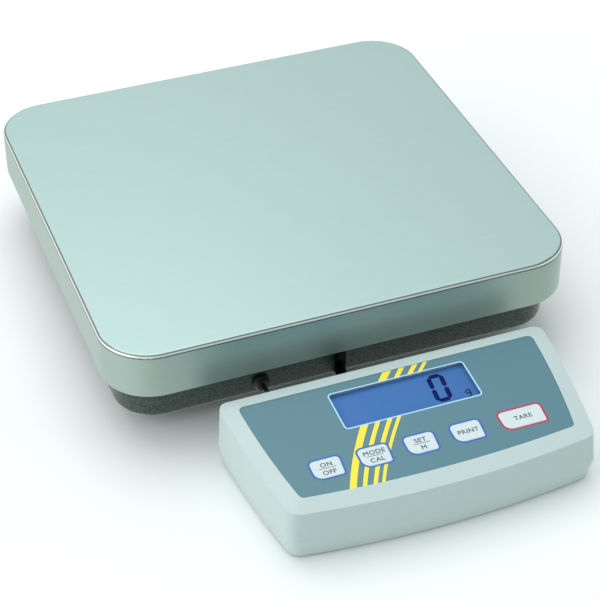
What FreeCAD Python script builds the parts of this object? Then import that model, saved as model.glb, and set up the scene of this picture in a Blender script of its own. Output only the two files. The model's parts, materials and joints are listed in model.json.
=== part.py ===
import FreeCAD, Part
import os
import re

import Sketcher
from FreeCAD import Placement, Rotation, Vector

# Animal weighing scale: a low platform on four levelling feet, a stainless weighing pan that
# lifts off, and a desk display unit held in front of it by a strap bracket.
# Millimetres. +X right, +Y from the display to the platform's back, +Z up.
# The origin lies on the floor, at the bottom centre of the whole scale's box.

# ---------------------------------------------------------------- driving dimensions
SIZES = {
    # weighing pan
    "pan_width": 318.0, "pan_depth": 308.0, "pan_skirt": 32.2, "pan_wall": 1.0,
    "pan_corner": 34.0, "pan_rim": 2.5,
    # base casing
    "base_inset": 12.1, "base_side_inset": 8.6, "base_bottom": 14.3, "base_wall": 3.0,
    "base_corner": 28.0, "base_edge": 4.0, "pan_clearance": 16.0,
    # load cell and its spacers
    "cell_length": 130.0, "cell_width": 30.0, "cell_height": 25.0, "cell_bore": 8.0,
    "cell_bore_pitch": 24.0, "spacer_length": 30.0, "lower_spacer_height": 6.0,
    "upper_spacer_height": 5.0, "cell_screw_radius": 3.0, "cell_screw_pitch": 15.0,
    "cell_screw_head_radius": 5.2, "cell_screw_head_height": 3.3, "cell_screw_grip": 12.0,
    # carrier frame and pan cushions
    "carrier_height": 8.0, "carrier_rail_width": 24.0, "carrier_rail_inset": 19.9,
    "carrier_bar_width": 64.0, "carrier_corner": 6.0, "cushion_inset_x": 35.4,
    "cushion_inset_y": 36.9, "cushion_radius": 10.0, "cushion_peg_radius": 4.0,
    "cushion_height": 12.7, "cushion_bevel": 1.5,
    # overload stops
    "stop_span_y": 130.0, "stop_gap": 0.6, "stop_screw_radius": 3.0,
    "stop_nut_width": 10.0, "stop_nut_height": 5.0,
    # levelling feet
    "foot_side_inset": 38.5, "foot_inset": 35.0, "stud_radius": 4.0, "stud_length": 31.0,
    "stud_tip_radius": 3.0, "stud_tip_length": 4.0, "stud_hex_width": 13.0, "stud_hex_height": 3.0,
    "foot_pad_radius": 12.0, "foot_pad_height": 6.0, "foot_pad_bevel": 1.0, "foot_pad_slope": 2.0,
    "foot_pad_gap": 0.2, "lock_nut_width": 13.0, "lock_nut_height": 3.0, "bush_radius": 8.0,
    "bush_height": 12.0,
    # spirit level
    "level_radius": 10.0, "level_height": 8.0, "level_vial_radius": 7.5, "level_vial_depth": 5.0,
    "level_vial_crown": 0.6, "level_crown_radius": 3.75, "level_offset_x": 70.0,
    "level_inset_y": 31.9,
    # clearances and cutting allowances
    "thread_gap": 0.05, "key_gap": 0.15, "cover_gap": 0.2, "window_gap": 0.1,
    "overlay_gap": 0.1, "cut_past": 1.0,
    # display housing
    "display_width": 225.0, "display_depth": 110.0, "display_height": 45.0,
    "display_gap": 33.1, "display_offset": 10.5, "display_wall": 2.5,
    "display_ground": 1.5, "parting_height": 15.0, "face_tilt": 4.0,
    "bottom_inset": 2.5, "crease_inset": 1.6, "crease_drop": 2.0,
    "front_taper": 11.5, "side_bow": 1.6, "front_bow": 7.5,
    "back_corner": 8.0, "front_corner": 7.0,
    # display face: overlay, window and keys, measured from the overlay's back edge
    "overlay_margin": 9.0, "overlay_recess": 0.5, "overlay_thickness": 0.3,
    "overlay_side_margin": 12.5, "overlay_taper": 10.5, "overlay_front_margin": 18.5,
    "overlay_bow": 5.0, "overlay_side_bow": 1.6, "overlay_back_corner": 4.5,
    "overlay_front_corner": 3.0, "bezel_rim": 0.6, "panel_thickness": 2.5,
    "window_width": 90.6, "window_depth": 30.6, "window_offset": 22.9, "window_shift": -2.1,
    "window_thickness": 1.2, "window_lip": 1.0, "key_row_inset": 17.7, "key_travel": 0.4,
    "key_emboss": 0.25, "key_tall": 15.0, "key_wide": 19.4, "tare_wide": 28.5,
    "key_lean": 1.2, "key_broad_corner": 5.5, "key_back_corner": 3.0, "key_near_corner": 1.5,
    "on_off_x": 65.8, "mode_x": 35.0, "set_x": 4.7, "print_x": 26.0, "tare_x": 63.0,
    "actuator_radius": 2.5, "actuator_gap": 0.1,
    # display electronics
    "glass_thickness": 2.0, "backlight_thickness": 4.0, "glass_border": 3.0,
    "face_board_width": 150.0, "face_board_start": 6.5, "face_board_end": 3.0,
    "board_thickness": 1.6, "switch_width": 6.0, "switch_height": 3.5, "post_radius": 3.0,
    "post_inset": 4.0, "small_screw_radius": 1.2, "small_screw_head": 2.2,
    "small_screw_head_height": 1.4, "small_screw_length": 6.0,
    "main_board_left": 18.0, "main_board_boss_gap": 6.0, "main_board_depth": 46.0,
    "main_board_height": 12.5, "main_board_start": 4.0, "chip_height": 2.0,
    "processor_width": 14.0, "converter_width": 10.0, "converter_depth": 8.0,
    "driver_width": 10.0, "driver_depth": 6.0, "capacitor_radius": 3.5,
    "capacitor_height": 8.0, "capacitor_pitch": 8.5, "capacitor_inset": 14.0,
    "header_width": 6.0, "header_depth": 14.0, "header_height": 7.0, "header_inset": 9.0,
    "serial_inset": 70.5, "serial_width": 31.0, "serial_height": 12.5, "serial_depth": 12.0,
    "serial_shell_width": 18.0, "serial_shell_height": 9.0, "serial_shell_wall": 1.0,
    "jack_inset": 36.5, "jack_width": 9.0, "jack_height": 11.0, "jack_depth": 13.5,
    "jack_radius": 3.2, "jack_bore_radius": 2.5, "jack_bore_depth": 8.0, "jack_tip_radius": 0.9,
    "socket_setback": 0.5,
    # battery, its cover and its snap
    "battery_length": 48.5, "battery_width": 26.5, "battery_thickness": 17.5,
    "battery_x": 10.0, "battery_front": 35.0, "snap_thickness": 4.0,
    "cover_length": 62.0, "cover_width": 30.0, "cover_thickness": 2.0, "cover_lap": 2.0,
    "cover_grip_width": 16.0, "cover_grip_depth": 4.0, "cover_grip_cut": 0.6,
    # fasteners and feet of the display
    "boss_radius": 4.0, "boss_side_inset": 14.5, "boss_front_side_inset": 13.0,
    "boss_back": 13.0, "boss_front": 14.0, "shell_screw_radius": 1.5, "shell_screw_head": 2.8,
    "shell_screw_head_height": 1.8, "shell_screw_length": 18.0, "shell_screw_recess": 2.5,
    "display_foot_radius": 5.0, "display_foot_inset": 13.0,
    # strap bracket
    "strap_x": 5.5, "strap_width": 7.5, "strap_thickness": 2.5, "strap_height": 15.2,
    "strap_base_leg": 26.0, "strap_display_leg": 23.0, "strap_screw_radius": 1.5,
    "strap_screw_head": 2.75, "strap_screw_head_height": 1.8, "strap_screw_length": 5.0,
    "strap_screw_pitch": 11.0, "strap_screw_margin": 1.0,
    # cable, glands and leads
    "cable_radius": 1.6, "gland_x": 60.0, "gland_height": 25.0, "gland_reach": 6.0,
    "gland_radius": 5.6, "gland_nose": 1.6, "gland_collar": 2.5, "gland_thread_radius": 4.5,
    "gland_nut_radius": 7.0, "gland_nut_height": 3.0, "gland_thread_past": 1.0,
    "inlet_x": 54.0, "inlet_height": 12.0, "inlet_radius": 3.6, "inlet_lip": 1.0,
    "cell_lead_height": 8.0,
}

doc = FreeCAD.newDocument("AnimalWeighingScale")
sheet = doc.addObject("Spreadsheet::Sheet", "Sizes")
for row, (alias, value) in enumerate(SIZES.items(), start=1):
    sheet.set(f"A{row}", alias.replace("_", " "))
    sheet.set(f"B{row}", str(value))
    sheet.setAlias(f"B{row}", alias)
doc.recompute()

# ---------------------------------------------------------------- places worked out from them
TILT = "(face_tilt * 1 deg)"
BASE_WIDTH = "(pan_width - 2 * base_side_inset)"
BASE_DEPTH = "(pan_depth - 2 * base_inset)"
DISPLAY_REACH = f"({BASE_DEPTH} / 2 + display_gap + display_depth)"
DISPLAY_X = "(display_offset)"
DISPLAY_FRONT = f"(-({DISPLAY_REACH} + pan_depth / 2) / 2)"
DISPLAY_BACK = f"({DISPLAY_FRONT} + display_depth)"
PLATFORM_Y = f"({DISPLAY_FRONT} + {DISPLAY_REACH})"
BASE_FRONT = f"({PLATFORM_Y} - {BASE_DEPTH} / 2)"
FLOOR_TOP = "(base_bottom + base_wall)"
CELL_BOTTOM = f"({FLOOR_TOP} + lower_spacer_height)"
CELL_TOP = f"({CELL_BOTTOM} + cell_height)"
CARRIER_BOTTOM = f"({CELL_TOP} + upper_spacer_height)"
CARRIER_TOP = f"({CARRIER_BOTTOM} + carrier_height)"
PAN_UNDERSIDE = f"({CARRIER_TOP} + cushion_height)"
PAN_TOP = f"({PAN_UNDERSIDE} + pan_wall)"
BASE_TOP = f"({PAN_UNDERSIDE} - pan_clearance)"
CUSHION_X = f"({BASE_WIDTH} / 2 - cushion_inset_x)"
CUSHION_Y = f"({BASE_DEPTH} / 2 - cushion_inset_y)"
FACE_Y = f"({DISPLAY_BACK} - overlay_margin)"
FACE_Z = "(display_height - overlay_recess)"
OVERLAY_DEPTH = "(display_depth - overlay_margin - overlay_front_margin)"
KEY_ROW = f"({OVERLAY_DEPTH} - key_row_inset)"
PANEL_TOP = "(-overlay_thickness)"
PANEL_BOTTOM = f"({PANEL_TOP} - panel_thickness)"
BACKLIGHT_TOP = f"({PANEL_BOTTOM} - glass_thickness)"
FACE_BOARD_TOP = f"({BACKLIGHT_TOP} - backlight_thickness)"
FACE_BOARD_DEPTH = f"({OVERLAY_DEPTH} - face_board_start - face_board_end)"
INNER_FLOOR = "(display_ground + display_wall)"
INNER_BACK = f"({DISPLAY_BACK} - display_wall)"
BOSS_BACK_X = "(display_width / 2 - boss_side_inset)"
BOSS_FRONT_X = "(display_width / 2 - front_taper - boss_front_side_inset)"
MAIN_BOARD_WIDTH = f"({BOSS_BACK_X} - boss_radius - main_board_boss_gap + main_board_left)"
MAIN_BOARD_X = f"({DISPLAY_X} - main_board_left + {MAIN_BOARD_WIDTH} / 2)"
MAIN_BOARD_Y = f"({DISPLAY_BACK} - main_board_start - main_board_depth / 2)"
MAIN_BOARD_TOP = "(main_board_height + board_thickness)"
SERIAL_X = f"({DISPLAY_X} + display_width / 2 - serial_inset)"
SERIAL_Z = f"({MAIN_BOARD_TOP} + serial_height / 2)"
JACK_X = f"({DISPLAY_X} + display_width / 2 - jack_inset)"
JACK_Z = f"({MAIN_BOARD_TOP} + jack_height / 2)"
BATTERY_X = f"({DISPLAY_X} + battery_x)"
BATTERY_Y = f"({DISPLAY_FRONT} + battery_front)"
KEYS = {
    "key_on_off": ("(-on_off_x)", "key_wide"),
    "key_mode": ("(-mode_x)", "key_wide"),
    "key_set": ("(-set_x)", "key_wide"),
    "key_print": ("print_x", "key_wide"),
    "key_tare": ("tare_x", "tare_wide"),
}
CORNERS = {"front_left": (-1, -1), "front_right": (1, -1), "back_left": (-1, 1), "back_right": (1, 1)}

nodes = []


# ---------------------------------------------------------------- working helpers
def scoped(expression):
    """Write each size's name in an expression as the sheet's own cell."""
    return re.sub(r"\b([a-z]+(?:_[a-z]+)+)\b", r"Sizes.\1", expression)


def mm(expression):
    """The value of an expression of the sheet's sizes."""
    value = sheet.evalExpression(scoped(expression))
    return float(getattr(value, "Value", value))


def bind(piece, **sizes):
    for name, expression in sizes.items():
        piece.setExpression(name, scoped(expression))
    return piece


def place(piece, x, y, z):
    for axis, expression in zip("xyz", (x, y, z)):
        piece.setExpression(f"Placement.Base.{axis}", scoped(expression))
    return piece


def turn(piece, axis, angle):
    piece.Placement = Placement(Vector(), Rotation(axis, angle))
    return piece


def place_on_face(piece, across, forward, above):
    """Tilt a piece with the display's face, and place it from the overlay's back edge."""
    turn(piece, Vector(1, 0, 0), mm("face_tilt"))
    piece.setExpression("Placement.Rotation.Angle", scoped("face_tilt * 1 deg"))
    x = f"{DISPLAY_X} + ({across})"
    y = f"{FACE_Y} - ({forward}) * cos({TILT}) - ({above}) * sin({TILT})"
    z = f"{FACE_Z} - ({forward}) * sin({TILT}) + ({above}) * cos({TILT})"
    return place(piece, x, y, z)


def box(name, width, depth, height):
    return bind(doc.addObject("Part::Box", name), Length=width, Width=depth, Height=height)


def box_at(name, x, y, z, width, depth, height):
    """A box from its centre in plan and its bottom."""
    piece = box(name, width, depth, height)
    return place(piece, f"{x} - ({width}) / 2", f"{y} - ({depth}) / 2", z)


def face_box(name, across, forward, above, width, depth, height):
    """A box on the tilted face, from its centre in plan and its underside."""
    piece = box(name, width, depth, height)
    return place_on_face(piece, f"{across} - ({width}) / 2", f"{forward} + ({depth}) / 2", above)


def cylinder(name, radius, height):
    return bind(doc.addObject("Part::Cylinder", name), Radius=radius, Height=height)


def post(name, x, y, z, radius, height):
    return place(cylinder(name, radius, height), x, y, z)


def pin_along_y(name, x, y, z, radius, length):
    """A cylinder that runs towards +Y from the given point."""
    piece = turn(cylinder(name, radius, length), Vector(1, 0, 0), -90)
    return place(piece, x, y, z)


def face_post(name, across, forward, above, radius, height):
    return place_on_face(cylinder(name, radius, height), across, forward, above)


def hexagon(name, x, y, z, across_flats, height):
    piece = doc.addObject("Part::Prism", name)
    piece.Polygon = 6
    bind(piece, Circumradius=f"({across_flats}) / sqrt(3)", Height=height)
    return place(piece, x, y, z)


def cut(name, base, tools):
    piece = doc.addObject("Part::Cut", name)
    piece.Base = base
    piece.Tool = tools[0] if len(tools) == 1 else fuse(f"{name}_tools", tools)
    return piece


def fuse(name, shapes):
    piece = doc.addObject("Part::MultiFuse", name)
    piece.Shapes = shapes
    return piece


def group(name, solids):
    """Identical pieces kept as separate solids of one node."""
    piece = doc.addObject("Part::Compound", name)
    piece.Links = solids
    return piece


def node(piece, name):
    """Name a finished sub-part and list it for writing."""
    piece.Label = name
    nodes.append(piece)
    return piece


def body(name):
    return doc.addObject("PartDesign::Body", name)


def sketch(owner, name, plane="XY_Plane"):
    piece = owner.newObject("Sketcher::SketchObject", name)
    support = [feature for feature in owner.Origin.OriginFeatures if feature.Role == plane][0]
    piece.AttachmentSupport = [(support, "")]
    piece.MapMode = "FlatFace"
    return piece


def outline(drawing, corners):
    """A closed outline of straight edges, each corner placed by the sheet's sizes."""
    first = drawing.GeometryCount
    points = [Vector(mm(x), mm(y), 0) for x, y in corners]
    for start, end in zip(points, points[1:] + points[:1]):
        drawing.addGeometry(Part.LineSegment(start, end))
    for step, corner in enumerate(corners):
        following = first + (step + 1) % len(corners)
        drawing.addConstraint(Sketcher.Constraint("Coincident", first + step, 2, following, 1))
        for kind, expression in zip(("DistanceX", "DistanceY"), corner):
            limit = Sketcher.Constraint(kind, -1, 1, first + step, 1, mm(expression))
            index = drawing.addConstraint(limit)
            drawing.setExpression(f"Constraints[{index}]", scoped(expression))


def rectangle(drawing, width, depth, x="0", y="0"):
    sides = [(-1, -1), (1, -1), (1, 1), (-1, 1)]
    outline(drawing, [(f"{x} + {i} * ({width}) / 2", f"{y} + {j} * ({depth}) / 2") for i, j in sides])


def circle(drawing, radius, x="0", y="0"):
    centre = Vector(mm(x), mm(y), 0)
    shape = drawing.addGeometry(Part.Circle(centre, Vector(0, 0, 1), mm(radius)))
    limits = [
        (Sketcher.Constraint("Radius", shape, mm(radius)), radius),
        (Sketcher.Constraint("DistanceX", -1, 1, shape, 3, mm(x)), x),
        (Sketcher.Constraint("DistanceY", -1, 1, shape, 3, mm(y)), y),
    ]
    for limit, expression in limits:
        index = drawing.addConstraint(limit)
        drawing.setExpression(f"Constraints[{index}]", scoped(expression))


def pad(owner, drawing, length, reverse=False):
    feature = owner.newObject("PartDesign::Pad", f"{drawing.Name}_pad")
    feature.Profile = drawing
    feature.Reversed = reverse
    bind(feature, Length=length)
    doc.recompute()
    return feature


def pocket(owner, drawing, reverse=False):
    """Cut an outline right through, and check that it did cut."""
    before = owner.Shape.Volume
    feature = owner.newObject("PartDesign::Pocket", f"{drawing.Name}_pocket")
    feature.Profile = drawing
    feature.Type = "ThroughAll"
    feature.Reversed = reverse
    doc.recompute()
    if owner.Shape.Volume >= before:
        raise RuntimeError(f"{drawing.Name} cuts nothing")
    return feature


def revolve(owner, drawing):
    """Turn a profile drawn on the XZ plane about the vertical axis."""
    feature = owner.newObject("PartDesign::Revolution", f"{drawing.Name}_turned")
    feature.Profile = drawing
    feature.ReferenceAxis = (drawing, ["V_Axis"])
    feature.Angle = 360
    doc.recompute()
    return feature


def turned(name, profile):
    """A piece turned on a lathe: profile is its half section, radius by height."""
    owner = body(name)
    drawing = sketch(owner, f"{name}_profile", "XZ_Plane")
    outline(drawing, profile)
    revolve(owner, drawing)
    return owner


def edges_of(feature, wanted):
    return [f"Edge{i}" for i, edge in enumerate(feature.Shape.Edges, 1) if wanted(edge)]


def is_upright(edge):
    start, end = edge.Vertexes[0].Point, edge.Vertexes[-1].Point
    return abs(start.x - end.x) < 1e-4 and abs(start.y - end.y) < 1e-4 and abs(start.z - end.z) > 1e-4


def at_height(height):
    return lambda edge: all(abs(vertex.Z - height) < 1e-4 for vertex in edge.Vertexes)


def round_edges(owner, feature, wanted, radius):
    rounding = owner.newObject("PartDesign::Fillet", f"{owner.Name}_rounding")
    rounding.Base = (feature, edges_of(feature, wanted))
    bind(rounding, Radius=radius)
    doc.recompute()
    return rounding


def hollow(owner, feature, open_height, wall):
    """Leave a wall of one thickness inside the outer shape, open at one height."""
    faces = feature.Shape.Faces
    open_faces = [
        f"Face{i}" for i, face in enumerate(faces, 1)
        if abs(face.BoundBox.ZMin - open_height) < 1e-3 and face.BoundBox.ZLength < 1e-3
    ]
    shell = owner.newObject("PartDesign::Thickness", f"{owner.Name}_shell")
    shell.Base = (feature, open_faces)
    shell.Reversed = True
    bind(shell, Value=wall)
    doc.recompute()
    return shell


# ---------------------------------------------------------------- platform
def weighing_pan():
    """Deep-drawn stainless pan: flat top, turned-down skirt, rounded corners and rim."""
    owner = body("weighing_pan")
    plan = sketch(owner, "pan_plan")
    rectangle(plan, "pan_width", "pan_depth")
    block = pad(owner, plan, "pan_skirt")
    rounded = round_edges(owner, block, is_upright, "pan_corner")
    rimmed = round_edges(owner, rounded, at_height(mm("pan_skirt")), "pan_rim")
    hollow(owner, rimmed, 0, "pan_wall")
    node(place(owner, "0", PLATFORM_Y, f"{PAN_TOP} - pan_skirt"), "weighing_pan")


def base_casing():
    """Open cast tray with a softened lower edge, drilled for everything that it carries."""
    owner = body("base_tray")
    plan = sketch(owner, "base_plan")
    rectangle(plan, BASE_WIDTH, BASE_DEPTH)
    block = pad(owner, plan, f"{BASE_TOP} - base_bottom")
    rounded = round_edges(owner, block, is_upright, "base_corner")
    softened = round_edges(owner, rounded, at_height(0), "base_edge")
    hollow(owner, softened, mm(f"{BASE_TOP} - base_bottom"), "base_wall")
    place(owner, "0", PLATFORM_Y, "base_bottom")
    holes = []
    for name, x, y in foot_places():
        holes.append(post(f"foot_hole_{name}", x, y, "0", "stud_radius + thread_gap", BASE_TOP))
    for index, (x, y) in enumerate(stop_places()):
        holes.append(post(f"stop_hole_{index}", x, y, "0", "stop_screw_radius", BASE_TOP))
    for index, x in enumerate(cell_screw_places(-1)):
        hole = post(f"cell_hole_{index}", x, PLATFORM_Y, "0", "cell_screw_radius + thread_gap", BASE_TOP)
        holes.append(hole)
    through_wall = "base_wall * 3"
    holes.append(pin_along_y("gland_hole", "-gland_x", f"{BASE_FRONT} - base_wall", "gland_height",
                             "gland_thread_radius", through_wall))
    for index, height in enumerate(strap_screw_heights()):
        holes.append(pin_along_y(f"strap_hole_{index}", "-strap_x", f"{BASE_FRONT} - base_wall", height,
                                 "strap_screw_radius", through_wall))
    node(cut("base_casing", owner, holes), "base_casing")


def foot_places():
    half_x = f"({BASE_WIDTH} / 2 - foot_side_inset)"
    half_y = f"({BASE_DEPTH} / 2 - foot_inset)"
    return [(name, f"{i} * {half_x}", f"{PLATFORM_Y} + {j} * {half_y}") for name, (i, j) in CORNERS.items()]


def stop_places():
    return [(f"{i} * {CUSHION_X}", f"{PLATFORM_Y} + {j} * stop_span_y / 2") for i, j in CORNERS.values()]


def cushion_places():
    return [
        (name, f"{i} * {CUSHION_X}", f"{PLATFORM_Y} + {j} * {CUSHION_Y}")
        for name, (i, j) in CORNERS.items()
    ]


def cell_screw_places(side):
    """Two screws in a row near one end of the load cell; side is -1 for its fixed end."""
    middle = f"{side} * (cell_length - spacer_length) / 2"
    return [f"{middle} - cell_screw_pitch / 2", f"{middle} + cell_screw_pitch / 2"]


def strap_screw_heights():
    first = "(strap_height + strap_thickness + strap_screw_head + strap_screw_margin)"
    return [first, f"({first} + strap_screw_pitch)"]


def load_cell():
    """Single-point aluminium cell: a bar with two joined bores that thin it to four hinges."""
    owner = body("cell_bar")
    side = sketch(owner, "cell_side", "XZ_Plane")
    rectangle(side, "cell_length", "cell_height", y="cell_height / 2")
    pad(owner, side, "cell_width")
    for index, x in enumerate(("-cell_bore_pitch / 2", "cell_bore_pitch / 2")):
        bore = sketch(owner, f"cell_bore_{index}", "XZ_Plane")
        circle(bore, "cell_bore", x, "cell_height / 2")
        pocket(owner, bore, reverse=True)
    slot = sketch(owner, "cell_slot", "XZ_Plane")
    rectangle(slot, "cell_bore_pitch", "cell_bore", y="cell_height / 2")
    pocket(owner, slot, reverse=True)
    place(owner, "0", f"{PLATFORM_Y} + cell_width / 2", CELL_BOTTOM)
    holes = []
    for side_sign, bottom in ((-1, CELL_BOTTOM), (1, f"{CELL_TOP} - cell_screw_grip")):
        for index, x in enumerate(cell_screw_places(side_sign)):
            name = f"cell_thread_{side_sign + 1}_{index}"
            radius = "cell_screw_radius + thread_gap"
            holes.append(post(name, x, PLATFORM_Y, bottom, radius, "cell_screw_grip"))
    node(cut("load_cell_drilled", owner, holes), "load_cell")


def spacer(name, side, bottom, height):
    """Ground plate that keeps the cell's free part clear of what it is bolted to."""
    block = box_at(f"{name}_block", f"{side} * (cell_length - spacer_length) / 2", PLATFORM_Y, bottom,
                   "spacer_length", "cell_width", height)
    holes = [
        post(f"{name}_hole_{index}", x, PLATFORM_Y, bottom, "cell_screw_radius + thread_gap", height)
        for index, x in enumerate(cell_screw_places(side))
    ]
    node(cut(f"{name}_drilled", block, holes), name)


def cell_screws():
    """Button-head screws: up through the tray's floor, and down through the carrier."""
    lower = []
    upper = []
    shank_low = "base_wall + lower_spacer_height + cell_screw_grip"
    shank_high = "carrier_height + upper_spacer_height + cell_screw_grip"
    for index, x in enumerate(cell_screw_places(-1)):
        head = post(f"low_head_{index}", x, PLATFORM_Y, "base_bottom - cell_screw_head_height",
                    "cell_screw_head_radius", "cell_screw_head_height")
        shank = post(f"low_shank_{index}", x, PLATFORM_Y, "base_bottom", "cell_screw_radius", shank_low)
        lower.append(fuse(f"low_screw_{index}", [head, shank]))
    for index, x in enumerate(cell_screw_places(1)):
        head = post(f"high_head_{index}", x, PLATFORM_Y, CARRIER_TOP,
                    "cell_screw_head_radius", "cell_screw_head_height")
        shank = post(f"high_shank_{index}", x, PLATFORM_Y, f"{CELL_TOP} - cell_screw_grip",
                     "cell_screw_radius", shank_high)
        upper.append(fuse(f"high_screw_{index}", [head, shank]))
    node(group("load_cell_screws", lower), "load_cell_screws")
    node(group("carrier_screws", upper), "carrier_screws")


def carrier_frame():
    """H-shaped aluminium frame on the cell's free end, with a hole for each cushion's peg."""
    owner = body("carrier_plate")
    plan = sketch(owner, "carrier_plan")
    outer = f"({CUSHION_X} + carrier_rail_width / 2)"
    inner = f"({CUSHION_X} - carrier_rail_width / 2)"
    end = f"({BASE_DEPTH} / 2 - carrier_rail_inset)"
    bar = "(carrier_bar_width / 2)"
    outline(plan, [
        (f"-{outer}", f"-{end}"), (f"-{inner}", f"-{end}"), (f"-{inner}", f"-{bar}"),
        (inner, f"-{bar}"), (inner, f"-{end}"), (outer, f"-{end}"),
        (outer, end), (inner, end), (inner, bar),
        (f"-{inner}", bar), (f"-{inner}", end), (f"-{outer}", end),
    ])
    plate = pad(owner, plan, "carrier_height")
    round_edges(owner, plate, is_upright, "carrier_corner")
    place(owner, "0", PLATFORM_Y, CARRIER_BOTTOM)
    holes = [
        post(f"peg_hole_{name}", x, y, CARRIER_BOTTOM, "cushion_peg_radius", "carrier_height")
        for name, x, y in cushion_places()
    ]
    for index, x in enumerate(cell_screw_places(1)):
        holes.append(post(f"carrier_hole_{index}", x, PLATFORM_Y, CARRIER_BOTTOM,
                          "cell_screw_radius + thread_gap", "carrier_height"))
    node(cut("carrier_frame_drilled", owner, holes), "carrier_frame")


def pan_cushion(name, x, y):
    """Rubber button: its peg sits in the carrier and its head carries the pan."""
    button = turned(f"pan_cushion_{name}", [
        ("0", "-carrier_height"), ("cushion_peg_radius", "-carrier_height"), ("cushion_peg_radius", "0"),
        ("cushion_radius", "0"), ("cushion_radius", "cushion_height - cushion_bevel"),
        ("cushion_radius - cushion_bevel", "cushion_height"), ("0", "cushion_height"),
    ])
    node(place(button, x, y, CARRIER_TOP), f"pan_cushion_{name}")


def overload_stops():
    """Screws that stand under the carrier's rails and take an overload before the cell does."""
    screws = []
    nuts = []
    for index, (x, y) in enumerate(stop_places()):
        length = f"{CARRIER_BOTTOM} - stop_gap - base_bottom"
        screws.append(post(f"stop_screw_{index}", x, y, "base_bottom", "stop_screw_radius", length))
        nut = hexagon(f"stop_nut_blank_{index}", x, y, FLOOR_TOP, "stop_nut_width", "stop_nut_height")
        thread = post(f"stop_nut_thread_{index}", x, y, FLOOR_TOP, "stop_screw_radius", "stop_nut_height")
        nuts.append(cut(f"stop_nut_{index}", nut, [thread]))
    node(group("overload_stop_screws", screws), "overload_stop_screws")
    node(group("overload_stop_nuts", nuts), "overload_stop_nuts")


def levelling_foot(name, x, y):
    """Threaded stud with spanner flats, turning in a pad that stays still on the table."""
    pad_piece = turned(f"foot_pad_{name}", [
        ("0", "0"), ("foot_pad_radius - foot_pad_bevel", "0"), ("foot_pad_radius", "foot_pad_bevel"),
        ("foot_pad_radius - foot_pad_slope", "foot_pad_height"),
        ("stud_tip_radius + thread_gap", "foot_pad_height"),
        ("stud_tip_radius + thread_gap", "foot_pad_height - stud_tip_length"),
        ("0", "foot_pad_height - stud_tip_length"),
    ])
    node(place(pad_piece, x, y, "0"), f"foot_pad_{name}")
    seat = "(foot_pad_height + foot_pad_gap)"
    tip = post(f"stud_tip_{name}", x, y, f"{seat} - stud_tip_length", "stud_tip_radius", "stud_tip_length")
    flats = hexagon(f"stud_hex_{name}", x, y, seat, "stud_hex_width", "stud_hex_height")
    thread = post(f"stud_thread_{name}", x, y, seat, "stud_radius", "stud_length - stud_tip_length")
    node(fuse(f"foot_stud_{name}", [tip, flats, thread]), f"foot_stud_{name}")


def foot_threads():
    """Bushes inside the tray that each stud screws through, and the lock nuts under it."""
    bushes = []
    nuts = []
    for name, x, y in foot_places():
        bush = post(f"bush_blank_{name}", x, y, FLOOR_TOP, "bush_radius", "bush_height")
        bush_bore = post(f"bush_bore_{name}", x, y, FLOOR_TOP, "stud_radius + thread_gap", "bush_height")
        bushes.append(cut(f"bush_{name}", bush, [bush_bore]))
        nut_bottom = "base_bottom - lock_nut_height"
        nut = hexagon(f"lock_nut_blank_{name}", x, y, nut_bottom, "lock_nut_width", "lock_nut_height")
        nut_bore = post(f"lock_nut_bore_{name}", x, y, nut_bottom, "stud_radius + thread_gap",
                        "lock_nut_height")
        nuts.append(cut(f"lock_nut_{name}", nut, [nut_bore]))
    node(group("foot_bushes", bushes), "foot_bushes")
    node(group("foot_lock_nuts", nuts), "foot_lock_nuts")


def spirit_level():
    """Round bubble level on the tray's floor, read with the pan lifted off."""
    x = "level_offset_x"
    y = f"{BASE_FRONT} + level_inset_y"
    cup = turned("spirit_level_body", [
        ("0", "0"), ("level_radius", "0"), ("level_radius", "level_height"),
        ("level_vial_radius", "level_height"), ("level_vial_radius", "level_height - level_vial_depth"),
        ("0", "level_height - level_vial_depth"),
    ])
    node(place(cup, x, y, FLOOR_TOP), "spirit_level_body")
    vial = turned("spirit_level_vial", [
        ("0", "0"), ("level_vial_radius", "0"), ("level_vial_radius", "level_vial_depth"),
        ("level_crown_radius", "level_vial_depth + level_vial_crown"),
        ("0", "level_vial_depth + level_vial_crown"),
    ])
    node(place(vial, x, y, f"{FLOOR_TOP} + level_height - level_vial_depth"), "spirit_level_vial")


# ---------------------------------------------------------------- display housing
def shell_outline(height, inset, back_inset, tilted=False):
    """The housing's outline in plan: a straight back, and sides and front that bow outwards.

    inset moves the sides and the front in from the widest outline, and back_inset the back.
    A tilted outline lies height above the face.
    """
    half_back = mm("display_width / 2") - inset
    half_front = half_back - mm("front_taper")
    back = mm(DISPLAY_BACK) - back_inset
    front = mm(DISPLAY_FRONT) + inset
    shoulder = front + mm("front_bow")
    centre = mm(DISPLAY_X)
    bow = mm("side_bow")
    middle = (back + shoulder) / 2
    half_middle = (half_back + half_front) / 2 + bow
    back_left, back_right = Vector(-half_back, back), Vector(half_back, back)
    front_left, front_right = Vector(-half_front, shoulder), Vector(half_front, shoulder)
    sides = [
        Part.LineSegment(back_left, back_right),
        Part.Arc(back_right, Vector(half_middle, middle), front_right),
        Part.Arc(front_right, Vector(0, front), front_left),
        Part.Arc(front_left, Vector(-half_middle, middle), back_left),
    ]
    wire = rounded_wire(sides, [mm("back_corner"), mm("front_corner"), mm("front_corner"), mm("back_corner")])
    wire.translate(Vector(centre, 0, 0))
    if not tilted:
        wire.translate(Vector(0, 0, height))
        return wire
    return tilt_wire(wire, height)


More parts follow.
